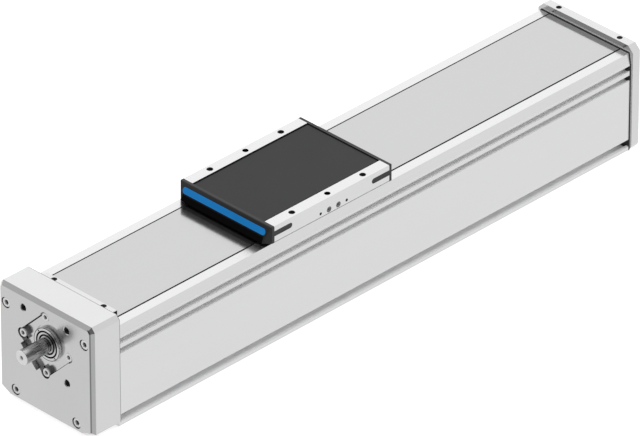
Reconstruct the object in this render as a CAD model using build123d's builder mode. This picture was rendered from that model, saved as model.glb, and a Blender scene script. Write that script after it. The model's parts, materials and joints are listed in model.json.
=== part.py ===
from build123d import *
from math import acos, cos, degrees, radians, sin
import os

# Ball screw linear axis with a cover strip, in millimetres.
# X runs along the screw axis from the motor mounting face towards the end cap, Z is up,
# and the origin lies on the screw axis in the plane of the motor mounting face. Left is
# the +Y side and right the -Y side.

# Aluminium profile
profile_width = 120.0
profile_height = 107.7
profile_length = 675.4
axis_below_top = 30.4
land_edge_drop = 12.7
land_edge_inset = 2.2
bottom_corner_radius = 1.5
upper_wall = 14.0
lower_wall = 6.0
strip_ledge_width = 8.0
strip_ledge_thickness = 5.0
chamber_step_below_axis = 2.0
chamber_floor_below_axis = 32.0
chamber_floor_thickness = 6.0
hollow_wall = 4.0
middle_hollow_width = 34.0
side_hollow_height = 20.0
hollow_corner_radius = 2.0

# T-slots of the profile
sensor_slot_opening = 5.9
upper_sensor_slot_z = 14.75
lower_sensor_slot_z = 4.25
sensor_slot_lip = 1.6
sensor_slot_inner = 8.6
sensor_slot_depth = 6.5
mounting_slot_opening = 7.75
mounting_slot_z = -68.2
mounting_slot_lip = 3.0
mounting_slot_inner = 12.6
mounting_slot_depth = 11.5
bottom_slot_spacing = 60.0

# Cover strip
strip_width = 91.6
strip_thickness = 0.3
strip_edge_groove = 1.5
strip_groove_depth = 2.0
strip_lift = 10.0
strip_bend_radius = 40.0
strip_ramp_from_centre = 80.0
strip_end_margin = 0.7

# Drive housing, on the motor side
housing_length = 35.2
housing_overhang = 2.0
housing_top = 43.8
front_chamfer = 3.7
top_corner_width = 4.0
top_corner_height = 4.8
lower_corner_width = 14.0
lower_corner_height = 6.5
plate_thickness = 1.6
tongue_length = 11.6
tongue_thickness = 6.0
tongue_side_gap = 0.8

# Corner screws of both end pieces
upper_screw_y = 51.2
upper_screw_z = 23.3
lower_screw_y = 40.0
lower_screw_z = -66.1
m6_head_radius = 5.0
m6_head_height = 6.0
m6_shank_radius = 2.95
m6_socket_radius = 2.9
m6_socket_depth = 3.0
m6_counterbore_radius = 5.6
head_sink = 0.8
screw_hole_gap = 0.05
screw_tip_gap = 1.0
profile_screw_depth = 20.0

# Motor mounting face
motor_pcd = 80.0
motor_hole_radius = 3.4
motor_hole_countersink = 4.1
motor_hole_depth = 16.0
recess_depth = 10.0
recess_gap = 0.9
notch_width = 29.0
notch_reach = 31.5

# Bearing flange in the recess
flange_side = 49.2
flange_corner_radius = 5.0
flange_screw_radius = 30.0
flange_ear_radius = 4.7
flange_thickness = 4.3
flange_bore_radius = 18.3
flange_spigot_height = 1.0
m5_head_radius = 4.25
m5_head_height = 5.0
m5_shank_radius = 2.45
m5_socket_radius = 2.4
m5_socket_depth = 2.6
m5_screw_length = 16.0

# Fixed bearing, lock nut and seal
fixed_bearing_radius = 20.0
fixed_bearing_width = 17.5
fixed_inner_radius = 12.4
bearing_shoulder_radius = 15.0
outer_ring_wall = 2.4
shield_thickness = 1.2
running_gap = 0.08
seat_gap = 0.02
lock_nut_radius = 16.7
lock_nut_front = 2.0
lock_nut_groove_radius = 13.5
lock_nut_groove_width = 1.1
lock_nut_groove_depth = 2.0
lock_nut_collar = 0.8
lock_nut_bore_step = 9.6
lock_nut_bore_depth = 1.0
pin_hole_circle = 15.0
pin_hole_radius = 0.9
pin_hole_depth = 3.0
seal_thickness = 2.4
seal_from_bearing = 1.2

# Spindle
shaft_radius = 7.5
shaft_projection = 30.0
shaft_chamfer = 1.0
keyway_width = 5.0
keyway_depth = 3.0
keyway_length = 20.0
keyway_from_end = 4.0
keyway_turn = 57.0
bearing_seat_radius = 8.5
screw_radius = 10.0
screw_end_gap = 14.0
journal_shoulder_radius = 7.5
journal_radius = 6.0
journal_end_gap = 0.6

# End cap, on the far side
cap_thickness = 10.6
cap_top = 37.6
cap_overhang = 2.15
cap_corner_chamfer = 6.5
cap_lower_radius = 7.0
cap_edge_chamfer = 0.8
gasket_thickness = 1.8
gasket_lip = 0.6
gasket_strip_gap = 0.1
floating_bearing_radius = 12.0
floating_bearing_width = 6.0
floating_bearing_inset = 0.8
floating_inner_radius = 8.4
floating_ring_wall = 1.8
journal_ring_thickness = 1.0
journal_ring_width = 1.8
journal_ring_groove = 0.4
cap_relief_radius = 9.0
cap_relief_depth = 2.2
cap_slot_depth = 7.8
cap_slot_gap = 0.5
cap_set_screw_y = 39.9
cap_set_screw_from_face = 5.0
set_screw_radius = 2.5
set_screw_length = 5.0
set_screw_hole_radius = 2.9
set_screw_socket_radius = 1.4
set_screw_socket_depth = 2.0

# Strip clamp bar on the drive side
clamp_bar_length = 12.3
clamp_bar_height = 7.2
clamp_bar_side = 0.2
clamp_bar_chamfer = 0.6
clamp_screw_y = 32.4
clamp_screw_from_end = 4.1
m3_head_radius = 2.75
m3_head_height = 3.0
m3_shank_radius = 1.45
m3_socket_radius = 1.4
m3_socket_depth = 1.4
m3_counterbore_radius = 2.95
m3_counterbore_depth = 4.2
clamp_screw_length = 8.0

# Guide rails
rail_width = 15.0
rail_height = 12.5
rail_track_depth = 1.2
rail_track_height = 3.0
rail_track_below_top = 4.0
rail_end_gap = 3.2
rail_hole_pitch = 80.0
rail_hole_count = 8
rail_bore_radius = 3.75
rail_head_radius = 3.5
rail_head_depth = 5.2
rail_head_height = 4.0
rail_screw_radius = 1.95
rail_screw_depth = 5.0
rail_socket_radius = 1.4

# Runner blocks
block_width = 34.0
block_length = 57.0
block_end_length = 8.0
block_top_above_floor = 24.0
block_foot_gap = 4.3
block_side_gap = 1.0
block_running_gap = 0.35
block_spacing = 76.0
block_corner = 1.5
block_end_inset = 0.6
block_screw_pitch = 26.0
block_screw_from_rail = 11.5
block_screw_depth = 7.0
block_screw_head_radius = 3.5

# Carriage
carriage_x = 310.9
carriage_length = 150.6
carriage_lift = 2.0
carriage_height = 17.1
floor_half_length = 62.0
strip_run_gap = 0.9
strip_side_gap = 0.6
panel_ledge_depth = 4.4
panel_ledge_width = 0.9
carriage_edge_chamfer = 0.5
carriage_hole_pitch = 93.0
carriage_hole_spacing = 107.2
carriage_thread_radius = 2.5
carriage_thread_countersink = 3.3
carriage_thread_depth = 14.0
locating_hole_radius = 3.0
locating_hole_depth = 9.0
side_slot_height = 5.6
side_slot_length = 23.1
side_slot_depth = 2.8
side_slot_z = 41.6
side_port_z = 36.6
side_port_shift = 2.0
side_port_spacing = 12.2
side_port_radius = 3.0
side_port_depth = 4.0
side_tap_spacing = 34.1
side_tap_radius = 1.5
side_tap_depth = 6.0
plug_sink = 0.6

# Carriage top panel
panel_sink = 0.9
panel_side_gap = 0.2
panel_end_gap = 0.9
panel_edge_step = 1.5
panel_step_depth = 2.0

# End covers of the carriage
cover_clearance = 1.6
cover_foot_reach = 9.7
cover_top_reach = 3.7
cover_side_reach = 3.0
cover_edge_chamfer = 0.6
arm_gap = 0.05
insert_end_past_screw = 4.1
insert_height = 8.5
insert_z = 42.2
insert_depth = 1.5
insert_gap = 0.05
strip_guide_end = 56.0
strip_guide_side_gap = 0.2
cover_screw_side_wall = 0.6
cover_screw_length = 12.0
m4_head_radius = 3.0
m4_head_height = 2.0
m4_shank_radius = 1.95
m4_socket_radius = 1.4
m4_socket_depth = 1.2
cover_head_floor = 1.2

# Saddle inside the profile
saddle_length = 142.0
saddle_half_width = 36.0
saddle_wing_half_width = 52.5
saddle_wing_thickness = 5.0
saddle_end_below_top = 3.9
saddle_bore_radius = 12.0
saddle_screw_x = 45.0
saddle_screw_y = 30.0
saddle_screw_length = 16.0
low_head_height = 3.4
low_head_bore_depth = 4.0

# Ball nut
nut_radius = 18.0
nut_body_length = 46.0
nut_flange_radius = 29.0
nut_flange_thickness = 11.0
nut_flange_flat = 22.0
nut_screw_radius = 23.5
nut_screw_turns = (0, 45, 135, 180)
nut_screw_length = 26.0
nut_running_gap = 0.05

# Buffers at both ends of the travel
drive_buffer_length = 26.5
cap_buffer_length = 15.8
buffer_radius = 5.0
buffer_y = 44.0
buffer_z = -8.5
buffer_stud_radius = 2.0
buffer_stud_length = 8.0

# Places worked out from the sizes above
half = profile_width / 2
top = axis_below_top
bottom = top - profile_height
profile_start = housing_length + plate_thickness
profile_end = profile_start + profile_length
cap_start = profile_end + gasket_thickness
cap_end = cap_start + cap_thickness
housing_half = half + housing_overhang
cap_half = half + cap_overhang
strip_half = strip_width / 2
strip_bed = top - strip_thickness
opening_half = half - upper_wall - strip_ledge_width
upper_chamber_half = half - upper_wall
lower_chamber_half = half - lower_wall
chamber_step = -chamber_step_below_axis
chamber_floor = -chamber_floor_below_axis
ledge_bottom = strip_bed - strip_ledge_thickness
tongue_half = opening_half - tongue_side_gap
bearing_start = recess_depth + flange_spigot_height
screw_start = bearing_start + fixed_bearing_width
screw_end = cap_start - screw_end_gap
floating_start = cap_start + floating_bearing_inset
floating_end = floating_start + floating_bearing_width
journal_end = floating_end + cap_relief_depth - journal_end_gap
flange_face = recess_depth - flange_thickness
carriage_bottom = top + carriage_lift
carriage_top = carriage_bottom + carriage_height
carriage_half = carriage_length / 2
carriage_start = carriage_x - carriage_half
channel_half = strip_half + strip_side_gap
cover_screw_y = channel_half + cover_screw_side_wall + m4_head_radius
insert_length = 2 * (cover_screw_y + insert_end_past_screw)
ledge_half = channel_half + panel_ledge_width
panel_bottom = carriage_top - panel_ledge_depth
panel_top = carriage_top - panel_sink
rail_y = lower_chamber_half - block_side_gap - block_width / 2
rail_top = chamber_floor + rail_height
block_top = chamber_floor + block_top_above_floor
block_bottom = chamber_floor + block_foot_gap
saddle_half = saddle_length / 2
saddle_start = carriage_x - saddle_half
strip_start = profile_start + strip_end_margin
strip_end = cap_start + cap_slot_depth - strip_end_margin
ramp_angle = degrees(acos(1 - strip_lift / (2 * strip_bend_radius)))
clamp_end = housing_length + clamp_bar_length
clamp_top = top + clamp_bar_height
channel_floor = strip_bed + strip_lift - strip_run_gap
cover_bottom = top + cover_clearance
cover_rise = carriage_top - cover_bottom
cover_lean = (cover_foot_reach - cover_top_reach) / cover_rise
insert_reach = cover_top_reach + (carriage_top - insert_z) * cover_lean
corner_spots = [
    (upper_screw_y, upper_screw_z),
    (-upper_screw_y, upper_screw_z),
    (lower_screw_y, lower_screw_z),
    (-lower_screw_y, lower_screw_z),
]
m6_hole_radius = m6_shank_radius + screw_hole_gap
m3_hole_radius = m3_shank_radius + screw_hole_gap
low_head_bore_radius = m6_head_radius + screw_hole_gap
body_floor_thickness = channel_floor - carriage_bottom
m6_sunk_depth = m6_head_height + head_sink
buffer_spots = [(buffer_y, buffer_z), (-buffer_y, buffer_z)]
clamp_screw_x = clamp_end - clamp_screw_from_end
clamp_screw_spots = [(clamp_screw_x, clamp_screw_y), (clamp_screw_x, -clamp_screw_y)]
rail_middle = (profile_start + profile_end) / 2


def across(x):
    """The plane square to the screw axis at x, facing the end cap."""
    return Plane.YZ.offset(x)


def facing_drive(x):
    """The plane square to the screw axis at x, facing the motor side."""
    return Plane(origin=(x, 0, 0), x_dir=(0, -1, 0), z_dir=(-1, 0, 0))


def level(z):
    """The horizontal plane at height z, facing up."""
    return Plane.XY.offset(z)


def facing_down(z):
    """The horizontal plane at height z, facing down."""
    return Plane(origin=(0, 0, z), x_dir=(1, 0, 0), z_dir=(0, 0, -1))


def save(piece, label):
    """Names a finished piece and writes it as a STEP file."""
    piece.part.label = label
    export_step(piece.part, f"parts/{label}.step")


def cap_screws(plane, spots, head, shank, socket):
    """Hexagon socket screws whose heads start in the plane and that run along its normal.

    head and shank are radius and length, and socket is radius and depth.
    """
    with BuildPart() as screws:
        with BuildSketch(plane):
            with Locations(*spots):
                Circle(head[0])
        extrude(amount=head[1])
        with BuildSketch(plane.offset(head[1])):
            with Locations(*spots):
                Circle(shank[0])
        extrude(amount=shank[1])
        with BuildSketch(plane):
            with Locations(*spots):
                RegularPolygon(socket[0], 6)
        extrude(amount=socket[1], mode=Mode.SUBTRACT)
    return screws


def ring(start, width, inner, outer):
    """A plain ring around the screw axis."""
    with BuildPart() as hoop:
        with BuildSketch(across(start)):
            Circle(outer)
            Circle(inner, mode=Mode.SUBTRACT)
        extrude(amount=width)
    return hoop


def bearing_outer(start, width, radius, wall, bore):
    """A bearing's outer ring with the shields that close both of its sides."""
    with BuildPart() as outer:
        with BuildSketch(Plane.XY):
            with BuildLine():
                Polyline(
                    (start, bore),
                    (start, radius),
                    (start + width, radius),
                    (start + width, bore),
                    (start + width - shield_thickness, bore),
                    (start + width - shield_thickness, radius - wall),
                    (start + shield_thickness, radius - wall),
                    (start + shield_thickness, bore),
                    close=True,
                )
            make_face()
        revolve(axis=Axis.X)
    return outer


def tee_slot(y, z, turn, opening, lip, inner, depth):
    """Cuts a T-slot's section with its mouth at (y, z), open towards the angle turn."""
    with Locations(Location((y, z, 0), (0, 0, turn))):
        with Locations((-lip / 2, 0)):
            Rectangle(lip, opening, mode=Mode.SUBTRACT)
        with Locations((-(lip + depth) / 2, 0)):
            Rectangle(depth - lip, inner, mode=Mode.SUBTRACT)


def profile_outline():
    """The profile's outer section, without slots and chambers."""
    with BuildSketch() as shape:
        with BuildLine():
            Polyline(
                (-half, bottom),
                (half, bottom),
                (half, top - land_edge_drop),
                (half - land_edge_inset, top),
                (land_edge_inset - half, top),
                (-half, top - land_edge_drop),
                close=True,
            )
        make_face()
        fillet(shape.vertices().group_by(Axis.Y)[0], bottom_corner_radius)
    return shape.sketch


def chamber_outline():
    """The space that holds the guides, the screw and the saddle, open under the strip."""
    with BuildSketch() as shape:
        with BuildLine():
            Polyline(
                (0, chamber_floor),
                (lower_chamber_half, chamber_floor),
                (lower_chamber_half, chamber_step),
                (upper_chamber_half, chamber_step),
                (upper_chamber_half, ledge_bottom),
                (opening_half, ledge_bottom),
                (opening_half, top),
                (0, top),
                close=True,
            )
        make_face()
        mirror(about=Plane.YZ)
    return shape.sketch


def hollow_sections():
    """Cuts the three closed chambers under the floor."""
    under_floor = chamber_floor - chamber_floor_thickness
    middle_height = under_floor - bottom - hollow_wall
    side_width = lower_chamber_half - middle_hollow_width / 2 - hollow_wall
    side_y = lower_chamber_half - side_width / 2
    side_z = under_floor - side_hollow_height / 2
    with Locations((0, under_floor - middle_height / 2)):
        RectangleRounded(middle_hollow_width, middle_height, hollow_corner_radius, mode=Mode.SUBTRACT)
    with Locations((side_y, side_z), (-side_y, side_z)):
        RectangleRounded(side_width, side_hollow_height, hollow_corner_radius, mode=Mode.SUBTRACT)


def strip_line(height):
    """The cover strip's line at a height over its bed, lifted where it passes the carriage."""
    z = strip_bed + height
    ramp_start = carriage_x - strip_ramp_from_centre
    ramp_end = carriage_x + strip_ramp_from_centre
    Line((strip_start, z), (ramp_start, z))
    rise = JernArc((ramp_start, z), (1, 0), strip_bend_radius, ramp_angle)
    ease = JernArc(rise @ 1, rise % 1, strip_bend_radius, -ramp_angle)
    ride = Line(ease @ 1, (2 * carriage_x - (ease @ 1).X, (ease @ 1).Y))
    fall = JernArc(ride @ 1, (1, 0), strip_bend_radius, -ramp_angle)
    JernArc(fall @ 1, fall % 1, strip_bend_radius, ramp_angle)
    Line((ramp_end, z), (strip_end, z))


def diamond(side, ear_radius):
    """A square on its corner, with a round ear around each of the four flange screws."""
    with BuildSketch() as shape:
        Rectangle(side, side, rotation=45)
        fillet(shape.vertices(), flange_corner_radius)
        with PolarLocations(flange_screw_radius, 4):
            Circle(ear_radius)
    return shape.sketch


os.makedirs("parts", exist_ok=True)


with BuildPart() as profile:
    with BuildSketch(across(profile_start)):
        add(profile_outline())
        add(chamber_outline(), mode=Mode.SUBTRACT)
        hollow_sections()
        with Locations((0, top - strip_thickness / 2)):
            Rectangle(strip_width + 2 * strip_edge_groove, strip_thickness, mode=Mode.SUBTRACT)
        groove_y = (strip_width + strip_edge_groove) / 2
        groove_z = top - strip_groove_depth / 2
        with Locations((groove_y, groove_z), (-groove_y, groove_z)):
            Rectangle(strip_edge_groove, strip_groove_depth, mode=Mode.SUBTRACT)
        sensor_slot = (sensor_slot_opening, sensor_slot_lip, sensor_slot_inner, sensor_slot_depth)
        mounting_slot = (mounting_slot_opening, mounting_slot_lip, mounting_slot_inner, mounting_slot_depth)
        for side, turn in ((1, 0), (-1, 180)):
            tee_slot(side * half, upper_sensor_slot_z, turn, *sensor_slot)
            tee_slot(side * half, lower_sensor_slot_z, turn, *sensor_slot)
            tee_slot(side * half, mounting_slot_z, turn, *mounting_slot)
            tee_slot(side * bottom_slot_spacing / 2, bottom, -90, *mounting_slot)
    extrude(amount=profile_length)
    with BuildSketch(across(profile_start), across(profile_end - profile_screw_depth)):
        with Locations(*corner_spots):
            Circle(m6_hole_radius)
    extrude(amount=profile_screw_depth, mode=Mode.SUBTRACT)
    with BuildSketch(level(chamber_floor)):
        with Locations((rail_middle, 0)):
            with GridLocations(rail_hole_pitch, 2 * rail_y, rail_hole_count, 2):
                Circle(rail_screw_radius + screw_hole_gap)
    extrude(amount=-rail_screw_depth, mode=Mode.SUBTRACT)
save(profile, "profile")


with BuildPart() as drive_housing:
    with BuildSketch(across(0)):
        with BuildLine():
            Polyline(
                (0, bottom),
                (housing_half - lower_corner_width, bottom),
                (housing_half, bottom + lower_corner_height),
                (housing_half, housing_top - top_corner_height),
                (housing_half - top_corner_width, housing_top),
                (0, housing_top),
                close=True,
            )
        make_face()
        mirror(about=Plane.YZ)
    extrude(amount=housing_length)
    chamfer(drive_housing.faces().sort_by(Axis.X)[0].outer_wire().edges(), front_chamfer)
    with BuildSketch(across(0)):
        add(diamond(flange_side + 2 * recess_gap, flange_ear_radius + recess_gap))
        with Locations(Location((0, 0, 0), (0, 0, -45))):
            Rectangle(2 * notch_reach, notch_width)
    extrude(amount=recess_depth, mode=Mode.SUBTRACT)
    with BuildSketch(across(recess_depth)):
        Circle(fixed_bearing_radius + seat_gap)
    extrude(amount=screw_start - recess_depth, mode=Mode.SUBTRACT)
    with BuildSketch(across(screw_start)):
        Circle(bearing_shoulder_radius)
    extrude(amount=housing_length - screw_start, mode=Mode.SUBTRACT)
    with BuildSketch(across(recess_depth)):
        with PolarLocations(flange_screw_radius, 4):
            Circle(m5_shank_radius + screw_hole_gap)
    extrude(amount=m5_screw_length, mode=Mode.SUBTRACT)
    with Locations(facing_drive(0)):
        with PolarLocations(motor_pcd / 2, 4, 45):
            CounterSinkHole(motor_hole_radius, motor_hole_countersink, motor_hole_depth, 90)
        with Locations(*corner_spots):
            CounterBoreHole(m6_hole_radius, m6_counterbore_radius, m6_sunk_depth, housing_length)
    with BuildSketch(across(housing_length)):
        with Locations((0, strip_bed - tongue_thickness / 2)):
            Rectangle(2 * tongue_half, tongue_thickness)
    extrude(amount=tongue_length)
    with BuildSketch(level(strip_bed)):
        with Locations(*clamp_screw_spots):
            Circle(m3_shank_radius + screw_hole_gap)
    extrude(amount=-tongue_thickness, mode=Mode.SUBTRACT)
    with BuildSketch(across(housing_length - buffer_stud_length + plate_thickness)):
        with Locations(*buffer_spots):
            Circle(buffer_stud_radius + screw_hole_gap)
    extrude(amount=buffer_stud_length - plate_thickness, mode=Mode.SUBTRACT)
save(drive_housing, "drive_housing")


with BuildPart() as intermediate_plate:
    with BuildSketch(across(housing_length)):
        add(profile_outline())
        Circle(bearing_shoulder_radius, mode=Mode.SUBTRACT)
        with Locations((0, strip_bed - tongue_thickness / 2)):
            Rectangle(2 * opening_half, tongue_thickness + 2 * strip_end_margin, mode=Mode.SUBTRACT)
        with Locations(*corner_spots):
            Circle(m6_hole_radius, mode=Mode.SUBTRACT)
        with Locations(*buffer_spots):
            Circle(buffer_stud_radius + screw_hole_gap, mode=Mode.SUBTRACT)
    extrude(amount=plate_thickness)
save(intermediate_plate, "intermediate_plate")


m6_head = (m6_head_radius, m6_head_height)
m6_socket = (m6_socket_radius, m6_socket_depth)
housing_grip = housing_length + plate_thickness - m6_sunk_depth
housing_shank = (m6_shank_radius, housing_grip + profile_screw_depth - screw_tip_gap)
housing_screws = cap_screws(across(head_sink), corner_spots, m6_head, housing_shank, m6_socket)
save(housing_screws, "housing_screws")


with BuildPart() as bearing_flange:
    with BuildSketch(across(flange_face)):
        add(diamond(flange_side, flange_ear_radius))
        with PolarLocations(flange_screw_radius, 4):
            Circle(m5_shank_radius + screw_hole_gap, mode=Mode.SUBTRACT)
    extrude(amount=flange_thickness)
    with BuildSketch(across(recess_depth)):
        Circle(fixed_bearing_radius)
    extrude(amount=flange_spigot_height)
    with BuildSketch(across(flange_face)):
        Circle(flange_bore_radius)
    extrude(amount=flange_thickness + flange_spigot_height, mode=Mode.SUBTRACT)
save(bearing_flange, "bearing_flange")


with PolarLocations(flange_screw_radius, 4) as flange_screw_spots:
    flange_spots = [(spot.position.X, spot.position.Y) for spot in flange_screw_spots.local_locations]
m5_head = (m5_head_radius, m5_head_height)
m5_socket = (m5_socket_radius, m5_socket_depth)
m5_shank = (m5_shank_radius, m5_screw_length)
bearing_flange_screws = cap_screws(
    across(flange_face - m5_head_height), flange_spots, m5_head, m5_shank, m5_socket
)
save(bearing_flange_screws, "bearing_flange_screws")


seal_start = bearing_start - seal_from_bearing - seal_thickness
shaft_seal = ring(seal_start, seal_thickness, lock_nut_radius + running_gap, flange_bore_radius - seat_gap)
save(shaft_seal, "shaft_seal")


fixed_bore = fixed_inner_radius + running_gap
fixed_bearing_outer = bearing_outer(
    bearing_start, fixed_bearing_width, fixed_bearing_radius, outer_ring_wall, fixed_bore
)
save(fixed_bearing_outer, "fixed_bearing_outer")


fixed_seat = bearing_seat_radius + seat_gap
fixed_bearing_inner = ring(bearing_start, fixed_bearing_width, fixed_seat, fixed_inner_radius)
save(fixed_bearing_inner, "fixed_bearing_inner")


with BuildPart() as lock_nut:
    with BuildSketch(across(lock_nut_front)):
        Circle(lock_nut_radius)
    extrude(amount=bearing_start - lock_nut_collar - lock_nut_front)
    with BuildSketch(across(bearing_start - lock_nut_collar)):
        Circle(fixed_inner_radius)
    extrude(amount=lock_nut_collar)
    with BuildSketch(across(lock_nut_front)):
        Circle(fixed_seat)
    extrude(amount=bearing_start - lock_nut_front, mode=Mode.SUBTRACT)
    with BuildSketch(across(lock_nut_front)):
        Circle(lock_nut_bore_step)
    extrude(amount=lock_nut_bore_depth, mode=Mode.SUBTRACT)
    with BuildSketch(across(lock_nut_front)):
        Circle(lock_nut_groove_radius)
        Circle(lock_nut_groove_radius - lock_nut_groove_width, mode=Mode.SUBTRACT)
    extrude(amount=lock_nut_groove_depth, mode=Mode.SUBTRACT)
    with BuildSketch(across(lock_nut_front)):
        with PolarLocations(pin_hole_circle, 4, 45):
            Circle(pin_hole_radius)
    extrude(amount=pin_hole_depth, mode=Mode.SUBTRACT)
save(lock_nut, "lock_nut")


with BuildPart() as screw_spindle:
    with BuildSketch(Plane.XY):
        with BuildLine():
            Polyline(
                (-shaft_projection, 0),
                (-shaft_projection, shaft_radius - shaft_chamfer),
                (shaft_chamfer - shaft_projection, shaft_radius),
                (lock_nut_front, shaft_radius),
                (lock_nut_front, bearing_seat_radius),
                (screw_start, bearing_seat_radius),
                (screw_start, screw_radius),
                (screw_end, screw_radius),
                (screw_end, journal_shoulder_radius),
                (floating_start, journal_shoulder_radius),
                (floating_start, journal_radius),
                (floating_end, journal_radius),
                (floating_end, journal_radius - journal_ring_groove),
                (floating_end + journal_ring_thickness, journal_radius - journal_ring_groove),
                (floating_end + journal_ring_thickness, journal_radius),
                (journal_end, journal_radius),
                (journal_end, 0),
                close=True,
            )
        make_face()
    revolve(axis=Axis.X)
    keyway_out = (0, cos(radians(keyway_turn)), sin(radians(keyway_turn)))
    keyway_plane = Plane(origin=(0, 0, 0), x_dir=(1, 0, 0), z_dir=keyway_out)
    with BuildSketch(keyway_plane.offset(shaft_radius - keyway_depth)):
        with Locations((keyway_from_end + keyway_length / 2 - shaft_projection, 0)):
            SlotOverall(keyway_length, keyway_width)
    extrude(amount=2 * keyway_depth, mode=Mode.SUBTRACT)
save(screw_spindle, "screw_spindle")


floating_bore = floating_inner_radius + running_gap
floating_bearing_outer = bearing_outer(
    floating_start, floating_bearing_width, floating_bearing_radius, floating_ring_wall, floating_bore
)
save(floating_bearing_outer, "floating_bearing_outer")


floating_seat = journal_radius + seat_gap
floating_bearing_inner = ring(floating_start, floating_bearing_width, floating_seat, floating_inner_radius)
save(floating_bearing_inner, "floating_bearing_inner")


groove_radius = journal_radius - journal_ring_groove + seat_gap
journal_ring = ring(floating_end, journal_ring_thickness, groove_radius, groove_radius + journal_ring_width)
save(journal_ring, "journal_ring")


with BuildPart() as end_gasket:
    with BuildSketch(across(profile_end)):
        add(profile_outline())
        with Locations((0, top + gasket_lip / 2)):
            Rectangle(2 * (half - land_edge_inset), gasket_lip)
        with Locations((0, strip_bed + strip_thickness / 2)):
            slit_height = strip_thickness + 2 * gasket_strip_gap
            Rectangle(strip_width + 2 * gasket_strip_gap, slit_height, mode=Mode.SUBTRACT)
        Circle(cap_relief_radius, mode=Mode.SUBTRACT)
        with Locations(*corner_spots):
            Circle(m6_hole_radius, mode=Mode.SUBTRACT)
        with Locations(*buffer_spots):
            Circle(buffer_stud_radius + screw_hole_gap, mode=Mode.SUBTRACT)
    extrude(amount=gasket_thickness)
save(end_gasket, "end_gasket")


with BuildPart() as end_cap:
    with BuildSketch(across(cap_start)) as cap_face:
        with Locations((0, (cap_top + bottom) / 2)):
            Rectangle(2 * cap_half, cap_top - bottom)
        chamfer(cap_face.vertices().group_by(Axis.Y)[-1], cap_corner_chamfer)
        fillet(cap_face.vertices().group_by(Axis.Y)[0], cap_lower_radius)
    extrude(amount=cap_thickness)
    chamfer(end_cap.faces().sort_by(Axis.X)[-1].outer_wire().edges(), cap_edge_chamfer)
    with BuildSketch(across(cap_start)):
        Circle(floating_bearing_radius + seat_gap)
    extrude(amount=floating_end - cap_start, mode=Mode.SUBTRACT)
    with BuildSketch(across(floating_end)):
        Circle(cap_relief_radius)
    extrude(amount=cap_relief_depth, mode=Mode.SUBTRACT)
    with Locations(across(cap_end)):
        with Locations(*corner_spots):
            CounterBoreHole(m6_hole_radius, m6_counterbore_radius, m6_sunk_depth, cap_thickness)
    with BuildSketch(across(cap_start)):
        with Locations((0, (strip_bed + top + cap_slot_gap) / 2)):
            Rectangle(strip_width + 2 * cap_slot_gap, top + cap_slot_gap - strip_bed)
    extrude(amount=cap_slot_depth, mode=Mode.SUBTRACT)
    with BuildSketch(level(top)):
        with Locations((cap_start + cap_set_screw_from_face, 0)):
            with GridLocations(cap_thickness, 2 * cap_set_screw_y, 1, 2):
                Circle(set_screw_hole_radius)
    extrude(amount=cap_top - top, mode=Mode.SUBTRACT)
    with BuildSketch(across(cap_start)):
        with Locations(*buffer_spots):
            Circle(buffer_stud_radius + screw_hole_gap)
    extrude(amount=buffer_stud_length - gasket_thickness, mode=Mode.SUBTRACT)
save(end_cap, "end_cap")


cap_grip = cap_thickness + gasket_thickness - m6_sunk_depth
end_cap_shank = (m6_shank_radius, cap_grip + profile_screw_depth - screw_tip_gap)
end_cap_screws = cap_screws(
    facing_drive(cap_end - head_sink), corner_spots, m6_head, end_cap_shank, m6_socket
)
save(end_cap_screws, "end_cap_screws")


with BuildPart() as end_cap_set_screws:
    set_screw_x = cap_start + cap_set_screw_from_face
    set_screw_spots = [(set_screw_x, cap_set_screw_y), (set_screw_x, -cap_set_screw_y)]
    with BuildSketch(level(top)):
        with Locations(*set_screw_spots):
            Circle(set_screw_radius)
    extrude(amount=set_screw_length)
    with BuildSketch(level(top + set_screw_length)):
        with Locations(*set_screw_spots):
            RegularPolygon(set_screw_socket_radius, 6)
    extrude(amount=-set_screw_socket_depth, mode=Mode.SUBTRACT)
save(end_cap_set_screws, "end_cap_set_screws")


with BuildPart() as strip_clamp:
    with BuildSketch(level(top)):
        with Locations((housing_length + clamp_bar_length / 2, 0)):
            Rectangle(clamp_bar_length, strip_width + 2 * clamp_bar_side)
    extrude(amount=clamp_bar_height)
    chamfer(strip_clamp.faces().sort_by(Axis.Z)[-1].edges().sort_by(Axis.X)[1:], clamp_bar_chamfer)
    with Locations(level(clamp_top)):
        with Locations(*clamp_screw_spots):
            CounterBoreHole(m3_hole_radius, m3_counterbore_radius, m3_counterbore_depth, clamp_bar_height)
save(strip_clamp, "strip_clamp")


strip_clamp_screws = cap_screws(
    facing_down(clamp_top - m3_counterbore_depth + m3_head_height),
    clamp_screw_spots,
    (m3_head_radius, m3_head_height),
    (m3_shank_radius, clamp_screw_length),
    (m3_socket_radius, m3_socket_depth),
)
save(strip_clamp_screws, "strip_clamp_screws")


with BuildPart() as cover_strip:
    with BuildSketch(Plane.XZ):
        with BuildLine():
            strip_line(0)
            strip_line(strip_thickness)
            Line((strip_start, strip_bed), (strip_start, strip_bed + strip_thickness))
            Line((strip_end, strip_bed), (strip_end, strip_bed + strip_thickness))
        make_face()
    extrude(amount=strip_half, both=True)
    with BuildSketch(level(strip_bed)):
        with Locations(*clamp_screw_spots):
            Circle(m3_shank_radius + 2 * screw_hole_gap)
    extrude(amount=strip_thickness, mode=Mode.SUBTRACT)
save(cover_strip, "cover_strip")


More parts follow.
